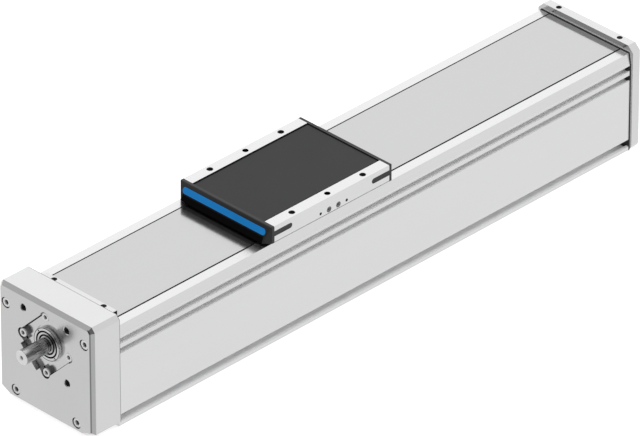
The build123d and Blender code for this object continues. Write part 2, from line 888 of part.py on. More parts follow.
def guide_rail(y):
    """One guide rail on the chamber floor, with a running track in each flank."""
    track_z = rail_top - rail_track_below_top
    with BuildPart() as rail:
        with BuildSketch(across(profile_start + rail_end_gap)):
            with Locations((y, chamber_floor + rail_height / 2)):
                Rectangle(rail_width, rail_height)
            with Locations((y + rail_width / 2, track_z), (y - rail_width / 2, track_z)):
                Rectangle(2 * rail_track_depth, rail_track_height, mode=Mode.SUBTRACT)
        extrude(amount=profile_length - 2 * rail_end_gap)
        with Locations(level(rail_top)):
            with Locations((rail_middle, y)):
                with GridLocations(rail_hole_pitch, rail_width, rail_hole_count, 1):
                    CounterBoreHole(
                        rail_screw_radius + screw_hole_gap, rail_bore_radius, rail_head_depth, rail_height
                    )
    return rail


save(guide_rail(rail_y), "guide_rail_left")
save(guide_rail(-rail_y), "guide_rail_right")


first_rail_hole = rail_middle - rail_hole_pitch * (rail_hole_count - 1) / 2
rail_screw_spots = [
    (first_rail_hole + rail_hole_pitch * number, side * rail_y)
    for number in range(rail_hole_count)
    for side in (1, -1)
]
rail_screws = cap_screws(
    facing_down(rail_top - rail_head_depth + rail_head_height),
    rail_screw_spots,
    (rail_head_radius, rail_head_height),
    (rail_screw_radius, rail_height - rail_head_depth + rail_screw_depth - screw_tip_gap),
    (rail_socket_radius, m5_socket_depth),
)
save(rail_screws, "rail_screws")


def buffers(seat, tip):
    """The two rubber end stops between their seat and their tip, with a stud behind the seat."""
    inwards = 1 if tip > seat else -1
    with BuildPart() as stops:
        with BuildSketch(across(seat)):
            with Locations(*buffer_spots):
                Circle(buffer_radius)
        extrude(amount=tip - seat)
        with BuildSketch(across(seat)):
            with Locations(*buffer_spots):
                Circle(buffer_stud_radius)
        extrude(amount=-inwards * (buffer_stud_length - screw_tip_gap))
    return stops


save(buffers(profile_start, profile_start + drive_buffer_length), "drive_buffers")
save(buffers(profile_end, profile_end - cap_buffer_length), "cap_buffers")


def runner_piece(x, y, length, inset, gap):
    """A length of runner block on its rail, inset from the block's outline."""
    with BuildPart() as piece:
        with BuildSketch(across(x - length / 2)) as section:
            with Locations((y, (block_top + block_bottom) / 2)):
                Rectangle(block_width - 2 * inset, block_top - block_bottom - 2 * inset)
            chamfer(section.vertices(), block_corner)
            slot_height = rail_top + gap - block_bottom
            with Locations((y, block_bottom + slot_height / 2)):
                Rectangle(rail_width + 2 * gap, slot_height, mode=Mode.SUBTRACT)
        extrude(amount=length)
    return piece


block_spots = [
    ("drive_left", carriage_x - block_spacing / 2, rail_y),
    ("drive_right", carriage_x - block_spacing / 2, -rail_y),
    ("cap_left", carriage_x + block_spacing / 2, rail_y),
    ("cap_right", carriage_x + block_spacing / 2, -rail_y),
]
block_screw_spots = [
    (x + end * block_screw_pitch / 2, y + block_screw_from_rail * (1 if y > 0 else -1))
    for name, x, y in block_spots
    for end in (1, -1)
]


for name, block_x, block_y in block_spots:
    with BuildPart() as runner_block:
        add(runner_piece(block_x, block_y, block_length - 2 * block_end_length, 0, block_running_gap).part)
        with BuildSketch(level(block_top)):
            with Locations(*[spot for spot in block_screw_spots if abs(spot[0] - block_x) < block_length]):
                Circle(m4_shank_radius + screw_hole_gap)
        extrude(amount=-block_screw_depth, mode=Mode.SUBTRACT)
    save(runner_block, f"runner_block_{name}")


with BuildPart() as runner_block_ends:
    for name, block_x, block_y in block_spots:
        for end in (1, -1):
            end_x = block_x + end * (block_length - block_end_length) / 2
            add(runner_piece(end_x, block_y, block_end_length, block_end_inset, 2 * block_running_gap).part)
save(runner_block_ends, "runner_block_ends")


saddle_screw_spots = [
    (carriage_x + end * saddle_screw_x, side * saddle_screw_y) for end in (1, -1) for side in (1, -1)
]
nut_screw_spots = [
    (nut_screw_radius * cos(radians(turn)), nut_screw_radius * sin(radians(turn)))
    for turn in nut_screw_turns
]


with BuildPart() as saddle:
    saddle_end_top = top - saddle_end_below_top
    with BuildSketch(across(saddle_start)):
        with Locations((0, (block_top + saddle_end_top) / 2)):
            Rectangle(2 * saddle_half_width, saddle_end_top - block_top)
        with Locations((0, block_top + saddle_wing_thickness / 2)):
            Rectangle(2 * saddle_wing_half_width, saddle_wing_thickness)
    extrude(amount=saddle_length)
    with BuildSketch(level(saddle_end_top)):
        with Locations((carriage_x, 0)):
            Rectangle(2 * floor_half_length, 2 * saddle_half_width)
    extrude(amount=carriage_bottom - saddle_end_top)
    with BuildSketch(across(saddle_start)):
        Circle(saddle_bore_radius)
    extrude(amount=saddle_length, mode=Mode.SUBTRACT)
    with BuildSketch(across(saddle_start)):
        Circle(nut_radius + seat_gap)
    extrude(amount=nut_body_length + screw_hole_gap, mode=Mode.SUBTRACT)
    with BuildSketch(across(saddle_start)):
        with Locations(*nut_screw_spots):
            Circle(m5_shank_radius + screw_hole_gap)
    extrude(amount=nut_screw_length - nut_flange_thickness + screw_tip_gap, mode=Mode.SUBTRACT)
    with BuildSketch(level(carriage_bottom)):
        with Locations(*saddle_screw_spots):
            Circle(m6_hole_radius)
    extrude(amount=-saddle_screw_length, mode=Mode.SUBTRACT)
    with Locations(level(block_top + saddle_wing_thickness)):
        with Locations(*block_screw_spots):
            CounterBoreHole(
                m4_shank_radius + screw_hole_gap,
                block_screw_head_radius + screw_hole_gap,
                m4_head_height + screw_hole_gap,
                saddle_wing_thickness,
            )
save(saddle, "saddle")


block_screws = cap_screws(
    facing_down(block_top + saddle_wing_thickness - screw_hole_gap),
    block_screw_spots,
    (block_screw_head_radius, m4_head_height),
    (m4_shank_radius, saddle_wing_thickness - m4_head_height + block_screw_depth - screw_tip_gap),
    (m4_socket_radius, m4_socket_depth),
)
save(block_screws, "block_screws")


with BuildPart() as ball_nut:
    with BuildSketch(across(saddle_start - nut_flange_thickness)):
        Circle(nut_flange_radius)
        Rectangle(2 * nut_flange_radius, 2 * nut_flange_flat, mode=Mode.INTERSECT)
        with Locations(*nut_screw_spots):
            Circle(m5_shank_radius + screw_hole_gap, mode=Mode.SUBTRACT)
    extrude(amount=nut_flange_thickness)
    with BuildSketch(across(saddle_start)):
        Circle(nut_radius)
    extrude(amount=nut_body_length)
    with BuildSketch(across(saddle_start - nut_flange_thickness)):
        Circle(screw_radius + nut_running_gap)
    extrude(amount=nut_flange_thickness + nut_body_length, mode=Mode.SUBTRACT)
save(ball_nut, "ball_nut")


nut_screws = cap_screws(
    across(saddle_start - nut_flange_thickness - m5_head_height),
    nut_screw_spots,
    m5_head,
    (m5_shank_radius, nut_screw_length),
    m5_socket,
)
save(nut_screws, "nut_screws")


def side_arm(end, inwards, shrink):
    """A side slot's outline, from the carriage's end inwards to its round tip."""
    radius = side_slot_height / 2 - shrink
    run = side_slot_length - side_slot_height / 2
    with Locations((end + inwards * run / 2, side_slot_z)):
        Rectangle(run, 2 * radius)
    with Locations((end + inwards * run, side_slot_z)):
        Circle(radius)


port_x = carriage_x + side_port_shift
port_spots = [(port_x + end * side_port_spacing / 2, side_port_z) for end in (1, -1)]
tap_spots = [(port_x + end * side_tap_spacing / 2, side_port_z) for end in (1, -1)]
cover_screw_spots = [(cover_screw_y, insert_z), (-cover_screw_y, insert_z)]
carriage_end = carriage_start + carriage_length


with BuildPart() as carriage_body:
    with BuildSketch(across(carriage_start)):
        with Locations((0, (carriage_bottom + carriage_top) / 2)):
            Rectangle(profile_width, carriage_height)
    extrude(amount=carriage_length)
    chamfer(carriage_body.edges().filter_by(Axis.X), carriage_edge_chamfer)
    with BuildSketch(Plane.XZ):
        with BuildLine():
            strip_line(-strip_run_gap)
            Polyline(
                (strip_start, strip_bed - strip_run_gap),
                (strip_start, 2 * carriage_top),
                (strip_end, 2 * carriage_top),
                (strip_end, strip_bed - strip_run_gap),
            )
        make_face()
    extrude(amount=channel_half, both=True, mode=Mode.SUBTRACT)
    with BuildSketch(level(carriage_bottom)):
        with Locations((carriage_x, 0)):
            Rectangle(carriage_length, 2 * channel_half)
            Rectangle(2 * floor_half_length, 2 * channel_half, mode=Mode.SUBTRACT)
    extrude(amount=carriage_height, mode=Mode.SUBTRACT)
    with BuildSketch(level(panel_bottom)):
        with Locations((carriage_x, 0)):
            Rectangle(carriage_length, 2 * ledge_half)
    extrude(amount=panel_ledge_depth, mode=Mode.SUBTRACT)
    with Locations(level(carriage_top)):
        with Locations((carriage_x, 0)):
            with GridLocations(carriage_hole_pitch, carriage_hole_spacing, 2, 2):
                CounterSinkHole(
                    carriage_thread_radius, carriage_thread_countersink, carriage_thread_depth, 90
                )
            with GridLocations(carriage_hole_pitch, carriage_hole_spacing, 1, 2):
                Hole(locating_hole_radius, locating_hole_depth)
    for side in (1, -1):
        with BuildSketch(Plane.XZ.offset(side * (half - side_slot_depth))):
            side_arm(carriage_start, 1, 0)
            side_arm(carriage_end, -1, 0)
        extrude(amount=side * side_slot_depth, mode=Mode.SUBTRACT)
        with BuildSketch(Plane.XZ.offset(side * (half - side_port_depth))):
            with Locations(*port_spots):
                Circle(side_port_radius)
        extrude(amount=side * side_port_depth, mode=Mode.SUBTRACT)
        with BuildSketch(Plane.XZ.offset(side * (half - side_tap_depth))):
            with Locations(*tap_spots):
                Circle(side_tap_radius)
        extrude(amount=side * side_tap_depth, mode=Mode.SUBTRACT)
    with Locations(level(channel_floor)):
        with Locations(*saddle_screw_spots):
            CounterBoreHole(m6_hole_radius, low_head_bore_radius, low_head_bore_depth, body_floor_thickness)
    with BuildSketch(across(carriage_start), across(carriage_end - cover_screw_length)):
        with Locations(*cover_screw_spots):
            Circle(m4_shank_radius + screw_hole_gap)
    extrude(amount=cover_screw_length, mode=Mode.SUBTRACT)
save(carriage_body, "carriage_body")


saddle_screws = cap_screws(
    facing_down(channel_floor - low_head_bore_depth + low_head_height),
    saddle_screw_spots,
    (m6_head_radius, low_head_height),
    (m6_shank_radius, saddle_screw_length),
    (m6_socket_radius, m4_socket_depth),
)
save(saddle_screws, "saddle_screws")


with BuildPart() as side_plugs:
    for side in (1, -1):
        with BuildSketch(Plane.XZ.offset(side * (half - side_port_depth))):
            with Locations(*port_spots):
                Circle(side_port_radius - screw_hole_gap)
        extrude(amount=side * (side_port_depth - plug_sink))
        with BuildSketch(Plane.XZ.offset(side * (half - plug_sink))):
            with Locations(*port_spots):
                RegularPolygon(m4_socket_radius, 6)
        extrude(amount=-side * m4_socket_depth, mode=Mode.SUBTRACT)
save(side_plugs, "side_plugs")


with BuildPart() as cover_panel:
    panel_half = ledge_half - panel_side_gap
    with BuildSketch(across(carriage_start + panel_end_gap)):
        with Locations((0, (panel_bottom + panel_top) / 2)):
            Rectangle(2 * panel_half, panel_top - panel_bottom)
        step_y = panel_half - panel_edge_step / 2
        step_z = panel_top - panel_step_depth / 2
        with Locations((step_y, step_z), (-step_y, step_z)):
            Rectangle(panel_edge_step, panel_step_depth, mode=Mode.SUBTRACT)
    extrude(amount=carriage_length - 2 * panel_end_gap)
save(cover_panel, "cover_panel")


insert_outwards = (-1, 0, cover_lean)
insert_middle = (carriage_start - insert_reach, 0, insert_z)
insert_plane = Plane(origin=insert_middle, x_dir=(0, -1, 0), z_dir=insert_outwards)
head_seat = carriage_start - cover_head_floor


with BuildPart() as end_cover_drive:
    with BuildSketch(Plane.XZ):
        with BuildLine():
            Polyline(
                (carriage_start, cover_bottom),
                (carriage_start - cover_foot_reach, cover_bottom),
                (carriage_start - cover_top_reach, carriage_top),
                (carriage_start, carriage_top),
                close=True,
            )
        make_face()
    extrude(amount=half, both=True)
    with BuildSketch(level(cover_bottom)):
        corner_x = carriage_start - cover_side_reach
        with BuildLine():
            Polyline(
                (corner_x, half),
                (corner_x - cover_foot_reach, half - cover_foot_reach),
                (corner_x - cover_foot_reach, half),
                close=True,
            )
        make_face()
        mirror(about=Plane.XZ)
    extrude(amount=cover_rise, mode=Mode.SUBTRACT)
    top_edges = end_cover_drive.faces().sort_by(Axis.Z)[-1].edges()
    chamfer(top_edges.sort_by(Axis.X)[:-1], cover_edge_chamfer)
    with BuildSketch(insert_plane):
        SlotOverall(insert_length, insert_height)
    extrude(amount=-insert_depth, mode=Mode.SUBTRACT)
    for side in (1, -1):
        with BuildSketch(Plane.XZ.offset(side * (half - side_slot_depth + arm_gap))):
            side_arm(carriage_start, 1, arm_gap)
        extrude(amount=side * (side_slot_depth - arm_gap))
    with BuildSketch(Plane.XZ):
        guide_length = carriage_half - strip_guide_end
        guide_top = panel_bottom - arm_gap
        with Locations((carriage_start + guide_length / 2, (cover_bottom + guide_top) / 2)):
            Rectangle(guide_length, guide_top - cover_bottom)
        with BuildLine():
            strip_line(strip_thickness + strip_run_gap)
            Polyline(
                (strip_start, top + strip_run_gap),
                (strip_start, 0),
                (strip_end, 0),
                (strip_end, top + strip_run_gap),
            )
        make_face(mode=Mode.SUBTRACT)
    extrude(amount=channel_half - strip_guide_side_gap, both=True)
    with BuildSketch(facing_drive(head_seat)):
        with Locations(*cover_screw_spots):
            Circle(m4_head_radius + 2 * screw_hole_gap)
    extrude(amount=cover_foot_reach, mode=Mode.SUBTRACT)
    with BuildSketch(across(head_seat)):
        with Locations(*cover_screw_spots):
            Circle(m4_shank_radius + screw_hole_gap)
    extrude(amount=cover_head_floor, mode=Mode.SUBTRACT)
save(end_cover_drive, "end_cover_drive")


with BuildPart() as end_insert_drive:
    with BuildSketch(insert_plane):
        SlotOverall(insert_length - 2 * insert_gap, insert_height - 2 * insert_gap)
    extrude(amount=-insert_depth)
save(end_insert_drive, "end_insert_drive")


with BuildPart() as end_cover_cap:
    mirror(end_cover_drive.part, about=across(carriage_x))
save(end_cover_cap, "end_cover_cap")


with BuildPart() as end_insert_cap:
    mirror(end_insert_drive.part, about=across(carriage_x))
save(end_insert_cap, "end_insert_cap")


cover_screw = cap_screws(
    across(head_seat - m4_head_height),
    cover_screw_spots,
    (m4_head_radius, m4_head_height),
    (m4_shank_radius, cover_screw_length),
    (m4_socket_radius, m4_socket_depth),
)


with BuildPart() as end_cover_screws:
    add(cover_screw.part)
    mirror(about=across(carriage_x))
save(end_cover_screws, "end_cover_screws")
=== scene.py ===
"""Looks of a ball screw linear axis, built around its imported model.

The CAD nodes carry the shapes. This file gives them their finishes, and adds the pieces that need
finer modelling: the cover strip, the threaded screw with its journals, the socket screws that show,
and the threads of the mounting holes. Lengths are in metres, X runs from the motor side to the end
cap, and Z is up.
"""

import json
from functools import partial
from math import acos, atan2, cos, pi, radians, sin
from typing import NamedTuple

import bmesh
import bpy
from bpy.props import FloatProperty, FloatVectorProperty, IntProperty, PointerProperty
from bpy.types import Operator, Panel, PropertyGroup
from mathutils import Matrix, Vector


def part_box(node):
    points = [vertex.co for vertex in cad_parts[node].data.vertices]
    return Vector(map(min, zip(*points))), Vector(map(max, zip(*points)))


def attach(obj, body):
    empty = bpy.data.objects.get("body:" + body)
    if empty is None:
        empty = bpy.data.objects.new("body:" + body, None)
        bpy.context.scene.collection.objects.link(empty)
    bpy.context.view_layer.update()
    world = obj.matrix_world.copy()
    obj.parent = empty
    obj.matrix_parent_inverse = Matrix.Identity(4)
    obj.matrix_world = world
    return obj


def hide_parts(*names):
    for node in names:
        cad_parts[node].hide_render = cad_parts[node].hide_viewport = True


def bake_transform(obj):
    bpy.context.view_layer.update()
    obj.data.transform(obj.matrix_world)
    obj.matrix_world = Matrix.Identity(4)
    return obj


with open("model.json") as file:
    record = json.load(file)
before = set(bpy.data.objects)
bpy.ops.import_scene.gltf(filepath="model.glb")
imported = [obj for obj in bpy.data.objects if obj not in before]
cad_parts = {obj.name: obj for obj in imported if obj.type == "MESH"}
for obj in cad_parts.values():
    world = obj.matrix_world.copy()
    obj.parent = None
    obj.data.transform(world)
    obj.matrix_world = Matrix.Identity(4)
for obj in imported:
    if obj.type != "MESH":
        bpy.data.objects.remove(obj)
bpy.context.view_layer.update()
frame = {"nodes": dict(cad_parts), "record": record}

bl_info = {
    "name": "Linear axis looks",
    "version": (1, 0, 0),
    "blender": (4, 5, 0),
    "location": "View3D > Sidebar > Linear axis",
    "description": "Finishes and fine pieces of a ball screw linear axis",
    "category": "Object",
}

MM = 0.001
SMOOTH_ANGLE = radians(32)
MERGE_DISTANCE = 1e-6
# Lengths over which a finish turns from one shade to another
FINEST, FINE, SOFT, VERY_SOFT = 0.02 * MM, 0.05 * MM, 0.1 * MM, 2 * MM

# Places of the CAD model that the new pieces meet
STRIP_LOW, STRIP_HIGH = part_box("cover_strip")
CARRIAGE_LOW, CARRIAGE_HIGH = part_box("carriage_body")
SPINDLE_LOW, SPINDLE_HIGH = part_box("screw_spindle")
CLAMP_LOW, CLAMP_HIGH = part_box("strip_clamp")
PROFILE_LOW, PROFILE_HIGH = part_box("profile")
CARRIAGE_X = (CARRIAGE_LOW.x + CARRIAGE_HIGH.x) / 2

# The profile's side slots: how far in from the sides their walls lie, and between which heights
SLOT_REACH = (0.25 * MM, 12.5 * MM)
SENSOR_SLOTS = ((9.9 * MM, 19.6 * MM), (-0.6 * MM, 9.1 * MM))
MOUNTING_SLOT = (-75 * MM, -61 * MM)

# Divisions around the shaft and the journal, of each keyway end, and of half the ball groove
SHAFT_STEPS, JOURNAL_STEPS, END_STEPS, GROOVE_STEPS = 96, 64, 12, 4
# Depth and radius, in millimetres, of each point of the centre bore in the shaft's end
CENTRE_BORE = ((4.6, 0), (4, 1.25), (2, 1.25), (0.4, 2.2), (0, 2.6))

# The studio that the metal mirrors: above, levels by how far a direction points along the sky's aim,
# and below, a level that rises along the ground's aim
SKY_AIM = (0.9, 0.35, 0.3)
SKY_LEVELS = ((-0.98, 0.12), (-0.55, 0.12), (-0.17, 0.33), (-0.09, 0.48), (0.47, 0.75), (0.91, 1.0))
SKY_FILL = (0.7,) * 3
GROUND_AIM = (0.267, 0.158, 0.0)
GROUND_LEVEL = 0.735
FLOOR_SIZE, FLOOR_DROP = 60, 0.2 * MM
FLOOR_SHADE = (0.8, 0.8, 0.8, 1)
FLOOR_GLOW = 0.62
LAMP_SIZE = (1.6, 1.2)
LAMP_PLACE = Vector((0.9, -0.5, 1.8))
LAMP_TARGET = Vector((0.35, 0, 0))


# Values that a user may change


def length(name, millimetres, note):
    return FloatProperty(
        name=name, description=note, default=millimetres * MM, min=0.0, unit="LENGTH", subtype="DISTANCE",
        precision=5,
    )


def rotation(name, degrees, note):
    return FloatProperty(name=name, description=note, default=radians(degrees), subtype="ANGLE")


def number(name, value, note):
    return FloatProperty(name=name, description=note, default=value, min=0.0)


def count(name, value, note, low):
    return IntProperty(name=name, description=note, default=value, min=low, max=96)


def colour(name, value, note):
    return FloatVectorProperty(name=name, description=note, default=value, min=0.0, max=1.0, subtype="COLOR")


class AxisStripSizes(PropertyGroup):
    thickness: length("Thickness", 0.3, "Thickness of the steel cover strip")
    lift: length("Lift", 10, "How far the carriage lifts the strip off its bed")
    bend_radius: length("Bend radius", 40, "Radius of the strip's bends under the end covers")
    groove: length("Groove", 1.5, "Width of the groove beside the strip")
    magnet: length("Magnet", 1.4, "Width and height of the magnet band in the groove")
    magnet_depth: length("Magnet depth", 1.2, "From the lands beside the strip to the magnets' middle")
    ramp: length("Ramp start", 80, "From the carriage's middle to where the strip starts to rise")
    clearance: length("Clearance", 0.02, "How far the lifted strip stays above its bed")
    arc_steps: count("Arc steps", 8, "Divisions of each bend", 2)


class AxisScrewSizes(PropertyGroup):
    lead: length("Lead", 10, "Travel of the nut for each turn of the screw")
    radius: length("Radius", 10, "Radius of the screw over its lands")
    ball_radius: length("Ball groove", 2.1, "Radius of the groove that the balls run in")
    groove_depth: length("Groove depth", 1.35, "Depth of the ball groove")
    steps: count("Steps", 36, "Divisions of each turn", 12)
    shaft_radius: length("Shaft radius", 7.5, "Radius of the shaft at the motor side")
    shaft_bevel: length("Shaft bevel", 1, "Bevel at the shaft's end")
    seat_radius: length("Seat radius", 8.5, "Radius of the shaft in the fixed bearing")
    keyway_width: length("Keyway width", 5, "Width of the keyway")
    keyway_depth: length("Keyway depth", 3, "Depth of the keyway")
    keyway_length: length("Keyway length", 20, "Length of the keyway over its round ends")
    keyway_from_end: length("Keyway place", 4, "From the shaft's end to the keyway")
    keyway_turn: rotation("Keyway turn", 57, "Angle of the keyway around the shaft")
    journal_length: length("Journal length", 22.4, "Length of the plain end behind the screw")
    journal_radius: length("Journal radius", 6, "Radius of the plain end in the floating bearing")
    journal_groove: length("Journal groove", 0.4, "Depth of the groove under the journal ring")
    journal_bevel: length("Journal bevel", 0.6, "Bevel at the journal's end")


class AxisFastenerSizes(PropertyGroup):
    housing_screw: length("Housing screw", 6, "Thread size of the housing's and end cap's screws")
    flange_screw: length("Flange screw", 5, "Thread size of the bearing flange's screws")
    clamp_screw: length("Clamp screw", 3, "Thread size of the strip clamp's screws")
    set_screw: length("Set screw", 5, "Thread size of the set screws in the end cap")
    knurls: count("Knurls", 36, "Ridges around a screw head", 8)
    motor_pitch: length("Motor hole pitch", 1.25, "Thread pitch of the motor's holes")
    motor_depth: length("Motor hole depth", 15, "Depth of the thread in the motor's holes")
    countersink: length("Countersink", 0.8, "Depth at which the motor holes' thread starts")
    carriage_pitch: length("Carriage hole pitch", 1, "Thread pitch of the carriage's holes")
    carriage_depth: length("Carriage hole depth", 13, "Depth of the thread in the carriage's holes")
    steps: count("Steps", 32, "Divisions of each turn of a thread", 12)


class AxisFaceMarks(PropertyGroup):
    """Where the finishes carry painted shade in narrow gaps, painted highlights and sheen, and the inserts' coloured
    band
    """

    nut_bore: length("Nut bore", 10.4, "Radius inside which the lock nut's bore is dark")
    nut_groove: length("Nut groove", 12.1, "Inner radius of the lock nut's groove")
    nut_groove_width: length("Nut groove width", 1.8, "Width of the lock nut's groove")
    nut_rim: length("Nut rim", 16.05, "Radius beyond which the lock nut's face is dark")
    shaft_tip_highlight: length("Shaft tip", 0.8, "Length of the shaft's bright tip")
    recess_foot: length("Recess foot", 4.9, "Depth from which the motor face's recess is dark")
    recess_reach: length("Recess reach", 36.6, "Sum of the distances across and up to which it is dark")
    shaded_near_edge: length("Near edge", 5, "Width of the strip beside the motor face's near edge")
    seam: length("Seam", 0.5, "How far the seam behind the housing darkens it")
    screw_face: length("Screw face", 1.5, "Depth from which a screw head darkens in its counterbore")
    clamp_front_shade: length("Clamp foot", 0.4, "Width of the strip clamp's dark front edge")
    clamp_side_shade: length("Clamp side", 0.05, "Width of the strip clamp's dark side edge")
    strip_edge_shade: length("Strip line", 0.45, "Width of the dark line along the strip's near edge")
    cover_undercut: length("Cover undercut", 39.0, "Height below which the end covers are dark")
    undercut_reach: length("Undercut reach", 53, "Distance from the middle up to which they are dark")
    hole_row: length("Hole row", 53.6, "Distance of the carriage's holes from the middle")
    hole_reach: length("Hole reach", 3.6, "Distance from their row up to which the holes are dark")
    insert_band: length("Insert band", 6.3, "Height of the coloured band of the end covers' inserts")
    insert_drop: length("Insert drop", 0.4, "From the top of an insert down to its coloured band")


class AxisColours(PropertyGroup):
    profile: colour("Profile", (0.88, 0.88, 0.885), "Clear anodised extrusion")
    # Painted light: the slot walls take these colours with little metal, lighter in the mounting slots, for how light
    # falls inside the slots
    slots: colour("Sensor slots", (0.88, 0.88, 0.885), "Walls inside the narrow slots")
    lit_mounting_slot_walls: colour("Mounting slots", (0.97, 0.97, 0.975), "Walls inside the wide slots")
    end_piece: colour("End pieces", (0.825, 0.825, 0.83), "Milled and anodised end pieces")
    strip: colour("Cover strip", (0.66, 0.66, 0.665), "Rolled stainless strip")
    # Also the gasket's painted reflection
    steel: colour("Ground steel", (0.62, 0.62, 0.625), "Shaft, bearings and guides")
    # Also the painted highlight on the shaft's end
    screws: colour("Screws", (0.95,) * 3, "Plated screws")
    nut: colour("Lock nut", (0.84, 0.84, 0.845), "Turned and plated nut")
    shaft: colour("Shaft", (0.66, 0.66, 0.665), "Ground shaft and screw")
    # Painted shade: the hole threads and the insides of the carriage's holes take this near-black colour for the
    # shade inside the holes
    tapped: colour("Tapped holes", (0.05,) * 3, "Cut threads, which hold some oil")
    # Also used as painted shade in counterbores
    dark_steel: colour("Dark steel", (0.12, 0.12, 0.125), "Phosphated parts")
    light: colour("Light plastic", (0.5,) * 3, "Ends of the runner blocks")
    # The end covers' black, also used as painted shade on the strip clamp and as the inserts' painted reflection
    black: colour("Black plastic", (0.016, 0.016, 0.017), "End covers, seals and gasket")
    panel: colour("Top panel", (0.02, 0.02, 0.021), "Black anodised panel")
    blue: colour("Blue insert", (0.012, 0.27, 0.74), "Insert of the end covers")
    # The plugs' colour, also used as painted shade in the seam behind the housing and in the flange screws'
    # counterbores
    grey: colour("Plugs", (0.2, 0.2, 0.205), "Plugs of the lubrication ports")
    # The end stops' black, also used as painted shade in gaps, grooves and recesses
    rubber: colour("Rubber", (0.02, 0.02, 0.021), "End stops and gaps")
    # Painted shade along the motor face's near edge
    shaded_near_edge: colour("Near edge", (0.4,) * 3, "Edge of the motor face at its near side")
    # Painted shade under the end covers
    undercut_shade: colour("Undercut", (0.006,) * 3, "Undercut of the end covers")
    mirrored_cover: colour("Mirrored covers", (0.03,) * 3, "End covers where metal mirrors them")


class AxisStage(PropertyGroup):
    azimuth: rotation("Azimuth", -45.202, "Camera angle around the object")
    elevation: rotation("Elevation", 32.0075, "Camera angle over the floor")
    distance: length("Distance", 9272.6, "From the camera to its target")
    lens: number("Lens", 559.22, "Focal length in millimetres on a 36 mm wide sensor")
    target: FloatVectorProperty(
        name="Target", description="Point that the camera looks at", default=(0.345, -0.010916, -0.01133), size=3,
        subtype="TRANSLATION",
    )
    sky: number("Sky", 1.0, "Strength of the studio's surroundings")
    lamp: number("Lamp", 14.0, "Power of the soft lamp in watts")


# Modelling tools


def start_fresh():
    """Leaves edit mode and deselects everything, so that an operator acts on new geometry only."""
    if bpy.context.mode != "OBJECT":
        bpy.ops.object.mode_set(mode="OBJECT")
    bpy.ops.object.select_all(action="DESELECT")


def only(piece):
    """Makes one object the selected and active one."""
    start_fresh()
    piece.select_set(True)
    bpy.context.view_layer.objects.active = piece


def settle(piece, name):
    """Names a finished piece, puts its place into its mesh and shades it by angle."""
    only(piece)
    bpy.ops.object.transform_apply()
    bpy.ops.object.shade_smooth_by_angle(angle=SMOOTH_ANGLE)
    piece.name = piece.data.name = name
    return piece


def select_all():
    bpy.ops.mesh.select_all(action="SELECT")


def extrude(shift):
    """Extrudes what is selected in edit mode."""
    bpy.ops.mesh.extrude_region_move(TRANSFORM_OT_translate={"value": shift})


def face_outwards():
    """Turns every face outwards and leaves edit mode."""
    select_all()
    bpy.ops.mesh.normals_make_consistent()
    bpy.ops.object.mode_set(mode="OBJECT")


def traced(points):
    """A line of edges drawn point by point, left in edit mode."""
    start_fresh()
    bpy.ops.mesh.primitive_plane_add(size=MM, location=points[0])
    bpy.ops.object.transform_apply()
    bpy.ops.object.mode_set(mode="EDIT")
    select_all()
    bpy.ops.mesh.merge(type="CENTER")
    for before, after in zip(points, points[1:]):
        extrude(Vector(after) - Vector(before))
    return bpy.context.edit_object


def turned(name, points, steps):
    """A piece turned around the X axis from a section of (x, radius) points."""
    piece = traced([(x, 0, radius) for x, radius in points])
    select_all()
    bpy.ops.mesh.spin(steps=steps, angle=2 * pi, center=(0, 0, 0), axis=(1, 0, 0))
    select_all()
    bpy.ops.mesh.remove_doubles(threshold=MERGE_DISTANCE)
    face_outwards()
    return settle(piece, name)


def apply_modifier(piece, kind, **values):
    """Adds a modifier with these values and applies it at once."""
    only(piece)
    modifier = piece.modifiers.new(kind.title(), kind)
    for key, value in values.items():
        setattr(modifier, key, value)
    bpy.ops.object.modifier_apply(modifier=modifier.name)


def cut(piece, cutter):
    """Takes the cutter's shape out of a piece and removes the cutter."""
    apply_modifier(piece, "BOOLEAN", operation="DIFFERENCE", solver="EXACT", object=cutter)
    bpy.data.objects.remove(cutter)


def wound(piece, axis, lead, turns, steps):
    """Winds a section around an axis into a thread."""
    apply_modifier(
        piece, "SCREW", axis=axis, angle=2 * pi, screw_offset=lead, iterations=turns, steps=steps,
        render_steps=steps, use_merge_vertices=True, merge_threshold=MERGE_DISTANCE,
    )


def prism(sides, top, bottom, depth):
    """A prism or cone with two radii, which stands out over the origin."""
    start_fresh()
    bpy.ops.mesh.primitive_cone_add(
        vertices=sides, radius1=bottom, radius2=top, depth=depth + ABOVE, location=(0, 0, (ABOVE - depth) / 2)
    )
    bpy.ops.object.transform_apply()
    return bpy.context.object


def solid_boxes(node):
    """The lowest and highest corners of each separate solid of a CAD node."""
    shape = bmesh.new()
    shape.from_mesh(frame["nodes"][node].data)
    bmesh.ops.remove_doubles(shape, verts=shape.verts, dist=MERGE_DISTANCE)
    left = set(shape.verts)
    boxes = []
    while left:
        solid = [left.pop()]
        for point in solid:
            beside = {edge.other_vert(point) for edge in point.link_edges} & left
            left -= beside
            solid.extend(beside)
        boxes.append([
            Vector([limit(point.co[axis] for point in solid) for axis in range(3)]) for limit in (min, max)
        ])
    shape.free()
    return sorted(boxes, key=lambda box: tuple(round(c, 5) for c in box[0]))


def joined(pieces, name):
    """Two or more pieces made into one."""
    start_fresh()
    for piece in pieces:
        piece.select_set(True)
    bpy.context.view_layer.objects.active = pieces[0]
    bpy.ops.object.join()
    return settle(pieces[0], name)


def wear(piece, finish):
    """Gives a piece one material in place of those that it has."""
    piece.data.materials.clear()
    piece.data.materials.append(bpy.data.materials[finish])


def finish_piece(piece, body, finish, replaces=()):
    """Gives a piece its material, hides the CAD nodes that it replaces, and hangs it on its body."""
    wear(piece, finish)
    if replaces:
        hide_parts(*replaces)
    if body:
        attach(piece, body)


